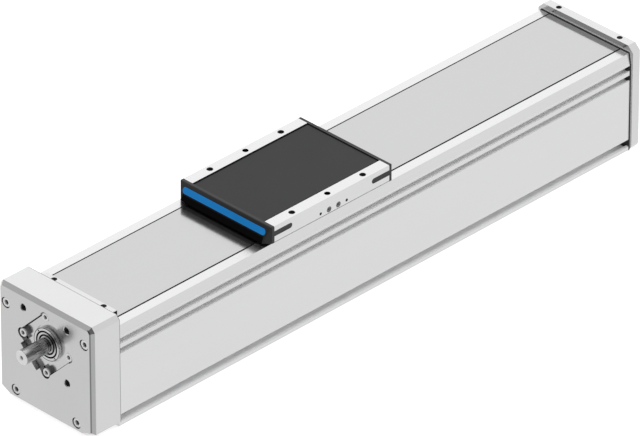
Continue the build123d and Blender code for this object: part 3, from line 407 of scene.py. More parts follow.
def repeated(model, name, places, turn):
    """A model's copies, turned, put in several places and made into one piece, without the model."""
    copies = []
    for place in places:
        only(model)
        bpy.ops.object.duplicate()
        bpy.context.object.rotation_euler = turn
        bpy.context.object.location = place
        copies.append(settle(bpy.context.object, name))
    bpy.data.objects.remove(model)
    return joined(copies, name)


# Finishes


def link(value, socket):
    """Feeds a socket from another one, or sets it to a plain value."""
    if isinstance(value, bpy.types.NodeSocket):
        socket.id_data.links.new(value, socket)
    else:
        socket.default_value = value


def fed(source, kind, socket="Vector", **values):
    """The outputs of a new node, or of a group by its name, that takes the source and some values."""
    group = bpy.data.node_groups.get(kind)
    node = source.id_data.nodes.new("ShaderNodeGroup" if group else kind)
    if group:
        node.node_tree = group
    link(source, node.inputs[socket])
    for label, value in values.items():
        link(value, node.inputs[label.replace("_", " ")])
    return node.outputs


def maths(operation, first, second=0.0, clamp=False):
    """The result of a Math node, whose inputs are sockets or numbers."""
    tree = (first if isinstance(first, bpy.types.NodeSocket) else second).id_data
    node = tree.nodes.new("ShaderNodeMath")
    node.operation = operation
    node.use_clamp = clamp
    link(first, node.inputs[0])
    link(second, node.inputs[1])
    return node.outputs[0]


plus, minus, times, magnitude, larger = (
    partial(maths, operation) for operation in ("ADD", "SUBTRACT", "MULTIPLY", "ABSOLUTE", "MAXIMUM")
)


def hypotenuse(first, second):
    return maths("SQRT", plus(times(first, first), times(second, second)))


def over(first, second, soft=SOFT):
    """One where the first value is above the second one, and nought where it is below."""
    return plus(times(minus(first, second), 1 / soft), 0.5, True)


def between(value, low, high, soft=SOFT):
    """One where the value lies between two limits, and nought elsewhere."""
    return times(over(value, low, soft), over(high, value, soft))


def spread(value, low, high):
    """Maps a value between nought and one to the range from low to high."""
    return fed(value, "ShaderNodeMapRange", "Value", To_Min=low, To_Max=high)["Result"]


def noise(vector, scale, detail, roughness=0.5):
    return fed(vector, "ShaderNodeTexNoise", Scale=scale, Detail=detail, Roughness=roughness)["Fac"]


def stretched(vector, scale):
    """Coordinates scaled by a different number along each axis."""
    return fed(vector, "ShaderNodeMapping", Scale=scale)["Vector"]


def blended(factor, first, second):
    """A mix of two colours, each a socket or at least three numbers."""
    node = factor.id_data.nodes.new("ShaderNodeMix")
    node.data_type = "RGBA"
    link(factor, node.inputs["Factor"])
    for label, shade in (("A", first), ("B", second)):
        link(shade if isinstance(shade, bpy.types.NodeSocket) else (*shade[:3], 1), node.inputs[label])
    return node.outputs["Result"]


def tinted(value, base, amount):
    """The base colour made darker and lighter by up to the amount, following the value."""
    return blended(value, [c * (1 - amount) for c in base], [min(1.0, c * (1 + amount)) for c in base])


def new_group(name, inputs, outputs):
    """An empty shader node group of a Vector and some numbers, as its inner inputs and outputs."""
    group = bpy.data.node_groups.new(name, "ShaderNodeTree")
    group.interface.new_socket("Vector", in_out="INPUT", socket_type="NodeSocketVector")
    for label, value in inputs.items():
        socket = group.interface.new_socket(label, in_out="INPUT", socket_type="NodeSocketFloat")
        socket.default_value = value
    for label in outputs:
        group.interface.new_socket(label, in_out="OUTPUT", socket_type="NodeSocketFloat")
    return group.nodes.new("NodeGroupInput").outputs, group.nodes.new("NodeGroupOutput").inputs


def build_drawn_lines():
    """Fine lines along X, as drawing, rolling or brushing leaves them, and the wear of lines and patches."""
    inside, out = new_group("Drawn lines", {"Fineness": 1.0}, ("Lines", "Wear"))
    scaled = fed(inside["Vector"], "ShaderNodeVectorMath", 0)[0]
    scaled.node.operation = "SCALE"
    link(inside["Fineness"], scaled.node.inputs["Scale"])
    fine = noise(stretched(scaled, (6, 900, 900)), 1.0, 4.0, 0.62)
    broad = noise(stretched(scaled, (1.6, 120, 120)), 1.0, 3.0, 0.55)
    lines = plus(times(fine, 0.65), times(broad, 0.35))
    patches = noise(inside["Vector"], 14.0, 3.0)
    link(lines, out["Lines"])
    link(plus(times(lines, 5 / 9), times(patches, 4 / 9)), out["Wear"])


def build_turning_marks():
    """Rings around the X axis, as turning leaves them on a face."""
    inside, out = new_group("Turning marks", {"Rings per metre": 2500.0}, ("Rings",))
    x, y, z = fed(inside["Vector"], "ShaderNodeSeparateXYZ")
    along = times(plus(hypotenuse(y, z), times(x, 0.7)), inside["Rings per metre"])
    rings = along.id_data.nodes.new("ShaderNodeTexNoise")
    rings.noise_dimensions = "1D"
    for label, value in (("W", along), ("Scale", 1.0), ("Detail", 3.0)):
        link(value, rings.inputs[label])
    link(rings.outputs["Fac"], out["Rings"])


def build_moulded_grain():
    """The fine even grain of moulded or blasted surfaces, with slow patches."""
    inside, out = new_group("Moulded grain", {}, ("Height", "Patches"))
    cells = fed(inside["Vector"], "ShaderNodeTexVoronoi", Scale=2600.0)["Distance"]
    soft = noise(inside["Vector"], 1800.0, 3.0, 0.6)
    link(plus(times(cells, 0.6), times(soft, 0.4)), out["Height"])
    link(noise(inside["Vector"], 22.0, 3.0), out["Patches"])


class Surface(NamedTuple):
    """A kind of surface: its node group, the outputs that its looks follow, and how strongly they do"""

    group: str
    tint: str
    wear: str
    height: str
    vary: float
    uneven: float
    bump: float
    depth: float = 0.02 * MM
    metallic: float = 1.0
    specular: float = 0.5
    inputs: dict = {}


DRAWN = Surface("Drawn lines", "Lines", "Wear", "Lines", vary=0.04, uneven=0.45, bump=0.12)
MILLED = Surface("Moulded grain", "Patches", "Patches", "Height", vary=0.03, uneven=0.15, bump=0.15)
PLATED = MILLED._replace(vary=0.04, metallic=0.2)
TURNED = Surface("Turning marks", "Rings", "Rings", "Rings", vary=0.06, uneven=0.3, bump=0.2)
MOULDED = Surface("Moulded grain", "Patches", "Height", "Height", 0.12, 0.15, 0.25, 0.03 * MM, 0.0)

# Each finish: its kind of surface, its colour, its roughness and the CAD nodes that wear it
FINISHES = {
    "Clear anodised profile": (DRAWN, "profile", 0.2, "profile"),
    "Clear anodised plate": (DRAWN, "profile", 0.2, "intermediate_plate"),
    "Rolled strip": (
        DRAWN._replace(vary=0.02, bump=0.02, inputs={"Fineness": 1.6}), "strip", 0.13, "cover_strip",
    ),
    "Ground steel": (
        DRAWN._replace(inputs={"Fineness": 1.4}), "steel", 0.22,
        "guide_rail_left guide_rail_right runner_block_drive_left runner_block_drive_right"
        " runner_block_cap_left runner_block_cap_right",
    ),
    "Carriage aluminium": (MILLED, "profile", 0.22, "carriage_body saddle"),
    "Milled flange": (MILLED, "end_piece", 0.16, "bearing_flange shaft_seal"),
    "Milled end piece": (MILLED, "end_piece", 0.2, "end_cap"),
    "Motor face": (MILLED, "end_piece", 0.2, "drive_housing"),
    "Clamp bar": (MILLED, "end_piece", 0.2, "strip_clamp"),
    "Dark steel": (MILLED._replace(vary=0.1), "dark_steel", 0.4, "journal_ring end_cap_set_screws"),
    # Painted shade: the threads inside the holes
    "Tapped hole": (MILLED._replace(vary=0.1), "tapped", 0.35, ""),
    "Turned steel": (
        TURNED, "steel", 0.16, "fixed_bearing_outer fixed_bearing_inner floating_bearing_outer"
        " floating_bearing_inner ball_nut screw_spindle",
    ),
    "Turned nut": (TURNED, "nut", 0.2, "lock_nut"),
    "Shaft steel": (
        TURNED._replace(vary=0.1, bump=0.08, inputs={"Rings_per_metre": 1400.0}), "shaft", 0.2, "",
    ),
    "Screw steel": (
        PLATED, "screws", 0.25, "rail_screws end_cover_screws saddle_screws block_screws nut_screws"
        " strip_clamp_screws",
    ),
    "Housing screws": (PLATED, "screws", 0.25, "housing_screws"),
    "Bearing flange screws": (PLATED, "screws", 0.25, "bearing_flange_screws"),
    "End cap screws": (PLATED, "screws", 0.25, "end_cap_screws"),
    "Black plastic": (MOULDED, "black", 0.38, "end_cover_drive end_cover_cap"),
    "Black panel": (MOULDED._replace(bump=0.12, specular=0.3), "panel", 0.42, "cover_panel"),
    "Blue plastic": (MOULDED._replace(specular=0.12), "blue", 0.36, "end_insert_drive end_insert_cap"),
    "Light plastic": (MOULDED, "light", 0.42, "runner_block_ends"),
    "Grey plug": (MOULDED, "grey", 0.4, "side_plugs"),
    "Gasket rubber": (MOULDED, "black", 0.5, "end_gasket"),
    "Rubber": (MOULDED, "rubber", 0.6, "drive_buffers cap_buffers"),
}


def new_finish(name, surface, base, rough):
    """A material of a kind of surface."""
    material = bpy.data.materials.new(name)
    material.use_nodes = True
    nodes = material.node_tree.nodes
    shader = nodes["Principled BSDF"].inputs
    marks = fed(nodes.new("ShaderNodeTexCoord").outputs["Object"], surface.group, **surface.inputs)
    bump = fed(marks[surface.height], "ShaderNodeBump", "Height", Strength=surface.bump, Distance=surface.depth)
    low, high = rough * (1 - surface.uneven), rough * (1 + surface.uneven)
    link(tinted(marks[surface.tint], base, surface.vary), shader["Base Color"])
    link(spread(marks[surface.wear], low, high), shader["Roughness"])
    link(bump["Normal"], shader["Normal"])
    link(surface.metallic, shader["Metallic"])
    link(surface.specular, shader["Specular IOR Level"])


# Painted shade in gaps and recesses, painted highlights, sheen and reflections, and other marks within a finish


def places(name):
    """X, Y and Z of the piece that wears a finish, in the piece's own coordinates."""
    texture = bpy.data.materials[name].node_tree.nodes["Texture Coordinate"]
    return fed(texture.outputs["Object"], "ShaderNodeSeparateXYZ")


def shaded(inside, shade, **others):
    """Turns a finish to a shade, and others of its shader's inputs to a value, where a mask is one."""
    shader = inside.id_data.nodes["Principled BSDF"].inputs
    link(blended(inside, shader["Base Color"].links[0].from_socket, shade), shader["Base Color"])
    for label, value in others.items():
        socket = shader[label.replace("_", " ")]
        link(spread(inside, socket.default_value, value), socket)


def shaded_in_mirrors(name, shade):
    """Gives a finish a plain shade where a glossy surface mirrors it."""
    path = bpy.data.materials[name].node_tree.nodes.new("ShaderNodeLightPath")
    shaded(path.outputs["Is Glossy Ray"], shade)


def shaded_slots(name, sensor, mounting):
    """Paints light into the walls of the profile's side slots: a barely metallic copy of the profile's finish,
    lighter in the mounting slots, which mirrors less of the room.
    """
    _, y, z = places(name)
    in_wall = between(magnitude(y), PROFILE_HIGH.y - SLOT_REACH[1], PROFILE_HIGH.y - SLOT_REACH[0])
    narrow = times(in_wall, larger(*(between(z, *limits) for limits in SENSOR_SLOTS)))
    wide = times(in_wall, between(z, *MOUNTING_SLOT))
    shaded(narrow, sensor)
    shaded(wide, mounting)
    metallic = wide.id_data.nodes["Principled BSDF"].inputs["Metallic"]
    link(spread(larger(narrow, wide), 1.0, 0.15), metallic)


def ringed_nut(name, marks, gap):
    """Paints shade into the lock nut's rim, its groove and its bore, and a painted sheen, as of turned metal, on its
    collar, lighter along one diagonal than the other.
    """
    _, y, z = places(name)
    radius = hypotenuse(y, z)
    sheen = plus(maths("DIVIDE", times(y, z), larger(times(radius, radius), 1e-8)), 0.5)
    collar = times(between(radius, marks.nut_bore, marks.nut_groove), 0.8)
    shaded(times(collar, minus(1.0, sheen)), gap)
    shaded(between(radius, marks.nut_groove, marks.nut_groove + marks.nut_groove_width), gap)
    shaded(over(marks.nut_bore, radius), gap)
    rim_end = marks.nut_rim + 0.6 * MM
    shaded(between(radius, marks.nut_rim, rim_end, FINEST), gap)


def shaded_recess(name, marks, gap, edge_shade):
    """Paints shade into the floor of the recess around the bearing flange and the foot of its walls, and a line of
    painted shade along one edge.
    """
    x, y, z = places(name)
    recess_floor = marks.recess_foot + 6 * MM
    deep = between(x, marks.recess_foot, recess_floor)
    reach = larger(magnitude(plus(y, z)), magnitude(minus(y, z)))
    shaded(times(deep, over(marks.recess_reach, reach)), gap)
    edge = between(x, 0.03 * MM, 1 * MM, FINE)
    shaded(times(edge, over(marks.shaded_near_edge - PROFILE_HIGH.y, y)), edge_shade)


def dark_holes(name, marks, gap):
    """Paints shade into the insides of the holes in the carriage's top."""
    _, y, z = places(name)
    top = CARRIAGE_HIGH.z
    deep = between(z, top - 20 * MM, top - 0.08 * MM, FINE)
    across = magnitude(minus(magnitude(y), marks.hole_row))
    shaded(times(deep, over(marks.hole_reach, across)), gap)


def undercut_cover(name, marks, gap):
    """Paints shade into the end covers below their inserts, where they lean in over the strip, and takes their
    specular away there.
    """
    x, y, z = places(name)
    low = between(z, 0.0, marks.cover_undercut)
    outside = over(magnitude(minus(x, CARRIAGE_X)), CARRIAGE_HIGH.x - CARRIAGE_X)
    middle = over(marks.undercut_reach, magnitude(y))
    shaded(times(times(low, outside), middle), gap, Specular_IOR_Level=0.0)


def narrowed_insert(name, marks, rest):
    """Leaves the insert's colour in a narrower band with round ends, and shades the rest."""
    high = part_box("end_insert_drive")[1]
    _, y, z = places(name)
    half = marks.insert_band / 2
    side = larger(minus(magnitude(y), high.y - half), 0.0)
    rise = minus(z, high.z - marks.insert_drop - half)
    shaded(over(hypotenuse(side, rise), half), rest)


class AXIS_OT_finishes(Operator):
    """Makes every finish and gives the CAD nodes theirs"""

    bl_idname = "linear_axis.finishes"
    bl_label = "Finishes"

    def execute(self, context):
        colours, marks = context.scene.axis_colours, context.scene.axis_face_marks
        build_drawn_lines()
        build_turning_marks()
        build_moulded_grain()
        for name, (surface, shade, rough, nodes) in FINISHES.items():
            new_finish(name, surface, getattr(colours, shade), rough)
            for node in nodes.split():
                wear(frame["nodes"][node], name)
        self.mark_gaps(colours, marks)
        return {"FINISHED"}

    # Painted shade, highlights and reflections within the finishes, and the inserts' coloured band
    def mark_gaps(self, colours, marks):
        shaded_slots("Clear anodised profile", colours.slots, colours.lit_mounting_slot_walls)
        # Painted shade: a dark line along the strip's near edge, for the shade in the groove beside it
        shaded(over(STRIP_LOW.y + marks.strip_edge_shade, places("Rolled strip")["Y"]), colours.rubber)
        shaded_recess("Motor face", marks, colours.rubber, colours.shaded_near_edge)
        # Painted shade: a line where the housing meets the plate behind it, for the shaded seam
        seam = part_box("intermediate_plate")[0].x
        shaded(between(places("Motor face")["X"], seam - marks.seam, seam + marks.seam), colours.grey)
        dark_holes("Carriage aluminium", marks, colours.tapped)
        ringed_nut("Turned nut", marks, colours.rubber)
        # Painted highlight: the shaft's end face takes the screws' bright, barely metallic colour
        tip = over(SPINDLE_LOW.x + marks.shaft_tip_highlight, places("Shaft steel")["X"])
        shaded(tip, colours.screws, Metallic=0.15)
        # Painted shade: black along the strip clamp's front edge, at its seam with the housing, and along its near
        # end
        x, y, _ = places("Clamp bar")
        shaded(over(CLAMP_LOW.x + marks.clamp_front_shade, x), colours.black)
        shaded(over(CLAMP_LOW.y + marks.clamp_side_shade, y), colours.black)
        # Painted shade: the screw heads darken below their faces, for the shade inside their counterbores
        deep = marks.screw_face
        for node, shade in (("housing_screws", colours.dark_steel), ("bearing_flange_screws", colours.grey)):
            x = places(node.replace("_", " ").capitalize())["X"]
            shaded(over(x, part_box(node)[0].x + deep, VERY_SOFT), shade)
        x = places("End cap screws")["X"]
        shaded(over(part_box("end_cap_screws")[1].x - deep, x, VERY_SOFT), colours.dark_steel)
        undercut_cover("Black plastic", marks, colours.undercut_shade)
        narrowed_insert("Blue plastic", marks, colours.black)
        # Painted reflections: where metal mirrors them, the end covers, their inserts and the gasket show these plain
        # colours
        shaded_in_mirrors("Black plastic", colours.mirrored_cover)
        shaded_in_mirrors("Blue plastic", colours.black)
        shaded_in_mirrors("Gasket rubber", colours.steel)


# The cover strip


def strip_piece(name, line, body=None):
    """A band of strip along a line of (x, z) points at its underside."""
    width = STRIP_HIGH.y - STRIP_LOW.y
    piece = traced([(x, -width / 2, z) for x, z in line])
    select_all()
    extrude((0, width, 0))
    select_all()
    bpy.ops.mesh.normals_make_consistent()
    shape = bmesh.from_edit_mesh(piece.data)
    if sum(face.normal.z for face in shape.faces) < 0:
        bpy.ops.mesh.flip_normals()
    thickness = bpy.context.scene.axis_strip.thickness
    apply_modifier(piece, "SOLIDIFY", thickness=thickness, offset=1.0, use_even_offset=True)
    finish_piece(settle(piece, name), body, "Rolled strip", ("cover_strip",))
    return piece


class AXIS_OT_cover_strip(Operator):
    """Builds the steel strip: two flat runs, which the carriage shortens and lengthens in the real axis, and the
    lifted part
    """

    bl_idname = "linear_axis.cover_strip"
    bl_label = "Cover strip"

    def execute(self, context):
        sizes = context.scene.axis_strip
        bed, radius = STRIP_LOW.z, sizes.bend_radius
        first, last = CARRIAGE_X - sizes.ramp, CARRIAGE_X + sizes.ramp
        turn = acos(1 - sizes.lift / (2 * radius))
        bends = [turn * step / sizes.arc_steps for step in range(sizes.arc_steps + 1)]
        rise = [(radius * sin(bend), radius * (1 - cos(bend))) for bend in bends]
        run = 2 * rise[-1][0]
        ramp = rise + [(run - x, sizes.lift - z) for x, z in reversed(rise[:-1])]
        clear = bed + sizes.clearance
        up = [(first + x, clear + z) for x, z in ramp]
        down = [(last - x, clear + z) for x, z in reversed(ramp)]
        strip_piece("strip_over_carriage", up + down, "carriage")
        stops = (STRIP_LOW.x, CLAMP_HIGH.x, first)
        drive_run = strip_piece("strip_drive_run", [(x, bed) for x in stops])
        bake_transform(drive_run)
        cap_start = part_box("end_gasket")[0].x
        stops = (last, cap_start, STRIP_HIGH.x)
        cap_run = strip_piece("strip_cap_run", [(x, bed) for x in stops])
        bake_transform(cap_run)
        return {"FINISHED"}


class AXIS_OT_strip_magnets(Operator):
    """Lays the dark magnet bands that hold the strip's edges into the grooves beside it"""

    bl_idname = "linear_axis.strip_magnets"
    bl_label = "Strip magnets"

    def execute(self, context):
        sizes = context.scene.axis_strip
        start, end = CLAMP_HIGH.x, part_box("end_gasket")[0].x
        bands = []
        for side, edge in ((1, STRIP_HIGH.y), (-1, STRIP_LOW.y)):
            middle = ((start + end) / 2, edge + side * sizes.groove / 2, PROFILE_HIGH.z - sizes.magnet_depth)
            start_fresh()
            bpy.ops.mesh.primitive_cube_add(
                size=1, location=middle, scale=(end - start, sizes.magnet, sizes.magnet)
            )
            bands.append(settle(bpy.context.object, "band"))
        finish_piece(joined(bands, "strip_magnets"), "housing", "Rubber")
        return {"FINISHED"}


# The spindle


class AXIS_OT_spindle(Operator):
    """Builds the spindle: the motor shaft with its keyway, the threaded screw and the floating journal"""

    bl_idname = "linear_axis.spindle"
    bl_label = "Spindle"

    def execute(self, context):
        sizes = context.scene.axis_screw
        track_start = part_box("fixed_bearing_inner")[1].x
        track_end = SPINDLE_HIGH.x - sizes.journal_length
        self.motor_shaft(sizes, track_start)
        self.threaded_screw(sizes, track_start, track_end)
        self.journal(sizes, track_end)
        return {"FINISHED"}

    def motor_shaft(self, sizes, end):
        tip, shoulder = SPINDLE_LOW.x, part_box("lock_nut")[0].x
        radius, seat, bevel = sizes.shaft_radius, sizes.seat_radius, sizes.shaft_bevel
        section = [(tip + depth * MM, bore * MM) for depth, bore in CENTRE_BORE] + [
            (tip, radius - bevel), (tip + bevel, radius), (shoulder, radius), (shoulder, seat), (end, seat), (end, 0),
        ]
        shaft = turned("motor_shaft", section, SHAFT_STEPS)
        half, reach = sizes.keyway_width / 2, (sizes.keyway_length - sizes.keyway_width) / 2
        middle = tip + sizes.keyway_from_end + sizes.keyway_length / 2
        outline = []
        for side in (1, -1):
            for step in range(END_STEPS + 1):
                bend = pi * step / END_STEPS - pi / 2
                along, across = side * (reach + half * cos(bend)), side * half * sin(bend)
                outline.append((middle + along, across, radius - sizes.keyway_depth))
        cutter = traced(outline)
        select_all()
        bpy.ops.mesh.edge_face_add()
        extrude((0, 0, 2 * sizes.keyway_depth))
        face_outwards()
        cutter.rotation_euler = (sizes.keyway_turn - pi / 2, 0, 0)
        cut(shaft, cutter)
        self.finish(settle(shaft, "motor_shaft"))

    def threaded_screw(self, sizes, start, end):
        lead, ball = sizes.lead, sizes.ball_radius
        middle = start - lead / 2
        rise = sizes.radius - sizes.groove_depth + ball
        open_turn = acos((ball - sizes.groove_depth) / ball)
        line = [(start - lead, 0, sizes.radius)]
        for step in range(2 * GROOVE_STEPS + 1):
            bend = open_turn * (step / GROOVE_STEPS - 1)
            line.append((middle + ball * sin(bend), 0, rise - ball * cos(bend)))
        line.append((start, 0, sizes.radius))
        screw = traced(line)
        wound(screw, "X", lead, int((end - start) / lead) + 2, sizes.steps)
        bpy.ops.object.mode_set(mode="EDIT")
        select_all()
        bpy.ops.mesh.remove_doubles(threshold=MERGE_DISTANCE)
        for place, inner in ((start, True), (end, False)):
            select_all()
            bpy.ops.mesh.bisect(
                plane_co=(place, 0, 0), plane_no=(1, 0, 0), use_fill=True, clear_inner=inner, clear_outer=not inner
            )
        face_outwards()
        self.finish(settle(screw, "ball_screw"))

    def journal(self, sizes, start):
        seat_start, seat_end = (corner.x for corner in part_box("floating_bearing_inner"))
        ring_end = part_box("journal_ring")[1].x
        radius, groove, bevel = sizes.journal_radius, sizes.journal_groove, sizes.journal_bevel
        section = [
            (start, 0), (start, sizes.shaft_radius), (seat_start, sizes.shaft_radius), (seat_start, radius),
            (seat_end, radius), (seat_end, radius - groove), (ring_end, radius - groove), (ring_end, radius),
            (SPINDLE_HIGH.x - bevel, radius), (SPINDLE_HIGH.x, radius - bevel), (SPINDLE_HIGH.x, 0),
        ]
        self.finish(turned("floating_journal", section, JOURNAL_STEPS))

    def finish(self, piece):
        finish_piece(piece, "spindle", "Shaft steel", ("screw_spindle",))


# Screws that show


# Shares of a thread's size: the shank's radius, and the radius of a head's and of a set screw's hexagon
SHANK, HEAD_HEXAGON, SET_HEXAGON = 0.49, 0.48, 0.28
# Shares of a head's radius: its bevel, and how far out the grooves between its knurls lie
HEAD_BEVEL, KNURL_FOOT = 0.1, 0.965
# Depth of the hexagon as a share of the head's, depth of its bevelled mouth, and how far cutters stand out
HEXAGON_DEPTH, MOUTH_DEPTH, ABOVE = 0.5, 0.25 * MM, 0.2 * MM


def socket_screw(radius, head, shank, total, hexagon, knurls):
    """A socket head screw whose head's face lies at the origin and faces up."""
    bevel = HEAD_BEVEL * radius
    start_fresh()
    bpy.ops.mesh.primitive_circle_add(vertices=2 * knurls, radius=radius - bevel, fill_type="NGON")
    screw = bpy.context.object
    bpy.ops.object.mode_set(mode="EDIT")
    select_all()
    steps = [(bevel, radius / (radius - bevel)), (head - bevel, 1)]
    if shank < radius:
        steps += [(0, shank / radius), (total - head, 1)]
    for drop, growth in steps:
        extrude((0, 0, -drop))
        bpy.ops.transform.resize(value=(growth, growth, 1))
    if shank < radius:
        bpy.ops.mesh.select_mode(type="VERT")
        bpy.ops.mesh.select_all(action="DESELECT")
        shape = bmesh.from_edit_mesh(screw.data)
        for point in shape.verts:
            turn = round(atan2(point.co.y, point.co.x) * knurls / pi)
            point.select_set(point.co.xy.length > 0.99 * radius and turn % 2 == 1)
        shape.select_flush_mode()
        bmesh.update_edit_mesh(screw.data)
        bpy.ops.transform.resize(value=(KNURL_FOOT, KNURL_FOOT, 1))
    face_outwards()
    cut(screw, prism(6, hexagon, hexagon, HEXAGON_DEPTH * head))
    cut(screw, prism(24, hexagon * 1.1 + ABOVE, hexagon * 0.9, MOUTH_DEPTH))
    return settle(screw, "model")


class AXIS_OT_screws(Operator):
    """Puts a socket screw with a knurled head in the place of each CAD screw that shows"""

    bl_idname = "linear_axis.screws"
    bl_label = "Screws"

    def execute(self, context):
        sizes = context.scene.axis_fasteners
        facing = {"-X": (0, -pi / 2, 0), "+X": (0, pi / 2, 0), "+Z": (0, 0, 0)}
        rows = (
            ("housing_screws", sizes.housing_screw, "-X", "Housing screws"),
            ("bearing_flange_screws", sizes.flange_screw, "-X", "Bearing flange screws"),
            ("end_cap_screws", sizes.housing_screw, "+X", "End cap screws"),
            ("strip_clamp_screws", sizes.clamp_screw, "+Z", "Dark steel"),
            ("end_cap_set_screws", sizes.set_screw, "+Z", "Dark steel"),
        )
        for node, size, way, finish in rows:
            boxes = solid_boxes(node)
            low, high = boxes[0]
            along, across = (2, 0) if way == "+Z" else (0, 1)
            radius = (high[across] - low[across]) / 2
            total = high[along] - low[along]
            bare = node == "end_cap_set_screws"
            model = socket_screw(
                radius, total if bare else size, radius if bare else size * SHANK, total,
                size * (SET_HEXAGON if bare else HEAD_HEXAGON), sizes.knurls,
            )
            places = [(low + high) / 2 for low, high in boxes]
            for place, (low, high) in zip(places, boxes):
                place[along] = low[along] if way == "-X" else high[along]
            screws = repeated(model, node.replace("screws", "socket_screws"), places, facing[way])
            finish_piece(screws, "housing", finish, (node,))
        return {"FINISHED"}


# Threads of the mounting holes


# Shares of a thread's pitch: how far its ridges reach in, and how deep below the mouth they start
RIDGE, THREAD_START = 0.4, 0.5
SHEET = 0.015 * MM


def lining(radius, pitch, depth, steps):
    """The thread inside a hole whose mouth lies at the origin and faces up."""
    outer, inner = radius - 0.02 * MM, radius - RIDGE * pitch
    start = -THREAD_START * pitch
    thread = traced([(outer, 0, start), (inner, 0, start - pitch / 2), (outer, 0, start - pitch)])
    wound(thread, "Z", -pitch, int(depth / pitch) - 1, steps)
    apply_modifier(thread, "SOLIDIFY", thickness=SHEET, offset=0.0)
    return settle(thread, "model")


class AXIS_OT_hole_threads(Operator):
    """Cuts the threads of the motor holes and of the carriage's holes"""

    bl_idname = "linear_axis.hole_threads"
    bl_label = "Hole threads"

    def execute(self, context):
        sizes = context.scene.axis_fasteners
        mounts = {mount["name"]: mount for mount in frame["record"]["mounts"]}
        motor, bolts = mounts["motor_pattern"]["dims"], mounts["carriage_bolts"]["dims"]
        corners = [(first, second) for first in (1, -1) for second in (1, -1)]
        reach = motor["pcd_mm"] / 2 * MM * cos(pi / 4)
        thread = lining(motor["hole_r_mm"] * MM, sizes.motor_pitch, sizes.motor_depth, sizes.steps)
        places = [(sizes.countersink, y * reach, z * reach) for y, z in corners]
        threads = repeated(thread, "motor_hole_threads", places, (0, -pi / 2, 0))
        finish_piece(threads, "housing", "Tapped hole")
        thread = lining(bolts["hole_r_mm"] * MM, sizes.carriage_pitch, sizes.carriage_depth, sizes.steps)
        half_x, half_y = bolts["spacing_x_mm"] / 2 * MM, bolts["spacing_y_mm"] / 2 * MM
        middle = Vector(mounts["carriage_bolts"]["pos_m"])
        places = [middle + Vector((x * half_x, y * half_y, 0)) for x, y in corners]
        threads = repeated(thread, "carriage_hole_threads", places, (0, 0, 0))
        finish_piece(threads, "carriage", "Tapped hole")
        return {"FINISHED"}


# Stage


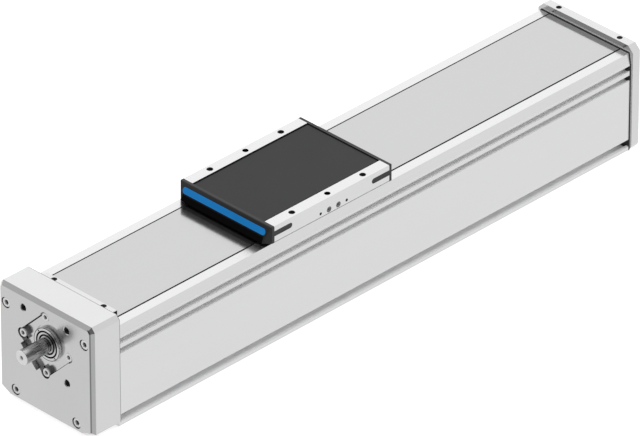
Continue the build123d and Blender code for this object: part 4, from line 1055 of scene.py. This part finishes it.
class AXIS_OT_stage(Operator):
    """Sets up the floor, the surroundings, the lamp and the camera"""

    bl_idname = "linear_axis.stage"
    bl_label = "Stage"

    def execute(self, context):
        scene = context.scene
        scene.view_settings.view_transform = "Standard"
        self.lay_floor()
        self.light_room(scene)
        self.hang_lamp(scene)
        self.place_camera(scene, scene.axis_stage)
        return {"FINISHED"}

    def lay_floor(self):
        start_fresh()
        bpy.ops.mesh.primitive_plane_add(size=FLOOR_SIZE, location=(0, 0, PROFILE_LOW.z - FLOOR_DROP))
        floor = settle(bpy.context.object, "studio_floor")
        material = bpy.data.materials.new("Studio floor")
        material.use_nodes = True
        nodes = material.node_tree.nodes
        shader, glow = nodes["Principled BSDF"], nodes.new("ShaderNodeEmission")
        for label, value in (("Base Color", FLOOR_SHADE), ("Roughness", 1.0), ("Specular IOR Level", 0.0)):
            link(value, shader.inputs[label])
        path = nodes.new("ShaderNodeLightPath").outputs
        link(times(path["Is Camera Ray"], FLOOR_GLOW), glow.inputs["Strength"])
        both = nodes.new("ShaderNodeAddShader")
        link(shader.outputs[0], both.inputs[0])
        link(glow.outputs[0], both.inputs[1])
        link(both.outputs[0], nodes["Material Output"].inputs["Surface"])
        floor.data.materials.append(material)
        floor.visible_glossy = False

    def light_room(self, scene):
        scene.world = bpy.data.worlds.new("Studio")
        scene.world.use_nodes = True
        nodes = scene.world.node_tree.nodes
        background = nodes["Background"].inputs
        link(scene.axis_stage.sky, background["Strength"])
        direction = nodes.new("ShaderNodeTexCoord").outputs["Generated"]
        sky = fed(plus(times(self.towards(direction, SKY_AIM), 0.5), 0.5), "ShaderNodeValToRGB", "Fac")["Color"]
        points = sky.node.color_ramp.elements
        while len(points) < len(SKY_LEVELS):
            points.new(0.5)
        for point, (position, level) in zip(points, SKY_LEVELS):
            point.position = (position + 1) / 2
            point.color = (level, level, level, 1)
        ground = plus(self.towards(direction, GROUND_AIM), GROUND_LEVEL)
        height = fed(direction, "ShaderNodeSeparateXYZ")["Z"]
        room = blended(plus(times(height, 5.0), 0.5, True), ground, sky)
        path = nodes.new("ShaderNodeLightPath").outputs
        mirrored = larger(path["Is Glossy Ray"], path["Is Transmission Ray"])
        backdrop = blended(path["Is Camera Ray"], blended(mirrored, SKY_FILL, room), (1, 1, 1))
        link(backdrop, background["Color"])

    def hang_lamp(self, scene):
        data = bpy.data.lights.new("Soft lamp", "AREA")
        data.shape = "RECTANGLE"
        data.size, data.size_y = LAMP_SIZE
        data.energy = scene.axis_stage.lamp
        lamp = bpy.data.objects.new("Soft lamp", data)
        scene.collection.objects.link(lamp)
        lamp.visible_glossy = False
        lamp.location = LAMP_PLACE
        lamp.rotation_euler = (LAMP_TARGET - LAMP_PLACE).to_track_quat("-Z", "Y").to_euler()

    def towards(self, direction, aim):
        """How far a direction points along the aim."""
        node = fed(direction, "ShaderNodeVectorMath", 0)[0].node
        node.operation = "DOT_PRODUCT"
        link(aim, node.inputs[1])
        return node.outputs["Value"]

    def place_camera(self, scene, stage):
        data = bpy.data.cameras.new("Camera")
        data.lens = stage.lens
        data.sensor_width = 36
        data.clip_start, data.clip_end = 0.1, 200
        camera = bpy.data.objects.new("Camera", data)
        scene.collection.objects.link(camera)
        flat = cos(stage.elevation)
        back = Vector((sin(stage.azimuth) * flat, -cos(stage.azimuth) * flat, sin(stage.elevation)))
        camera.location = Vector(stage.target) + back * stage.distance
        camera.rotation_euler = (-back).to_track_quat("-Z", "Y").to_euler()
        scene.camera = camera


class AXIS_PT_panel(Panel):
    """Lists the pieces and their sizes in the sidebar"""

    bl_label = "Linear axis"
    bl_space_type = "VIEW_3D"
    bl_region_type = "UI"
    bl_category = "Linear axis"

    def draw(self, context):
        layout = self.layout
        for operator in OPERATORS:
            layout.operator(operator.bl_idname)
        for group in GROUPS:
            box = layout.box()
            for key in GROUPS[group].__annotations__:
                box.prop(getattr(context.scene, group), key)


GROUPS = {
    "axis_strip": AxisStripSizes,
    "axis_screw": AxisScrewSizes,
    "axis_fasteners": AxisFastenerSizes,
    "axis_face_marks": AxisFaceMarks,
    "axis_colours": AxisColours,
    "axis_stage": AxisStage,
}
OPERATORS = (
    AXIS_OT_finishes, AXIS_OT_cover_strip, AXIS_OT_strip_magnets, AXIS_OT_spindle, AXIS_OT_screws,
    AXIS_OT_hole_threads, AXIS_OT_stage,
)


def register():
    for made in (*GROUPS.values(), *OPERATORS, AXIS_PT_panel):
        bpy.utils.register_class(made)
    for name, group in GROUPS.items():
        setattr(bpy.types.Scene, name, PointerProperty(type=group))


def unregister():
    for name in GROUPS:
        delattr(bpy.types.Scene, name)
    for made in (AXIS_PT_panel, *OPERATORS, *GROUPS.values()):
        bpy.utils.unregister_class(made)


def main():
    register()
    bpy.ops.linear_axis.finishes()
    bpy.ops.linear_axis.cover_strip()
    bpy.ops.linear_axis.strip_magnets()
    bpy.ops.linear_axis.spindle()
    bpy.ops.linear_axis.screws()
    bpy.ops.linear_axis.hole_threads()
    bpy.ops.linear_axis.stage()
    start_fresh()


if __name__ == "__main__":
    main()
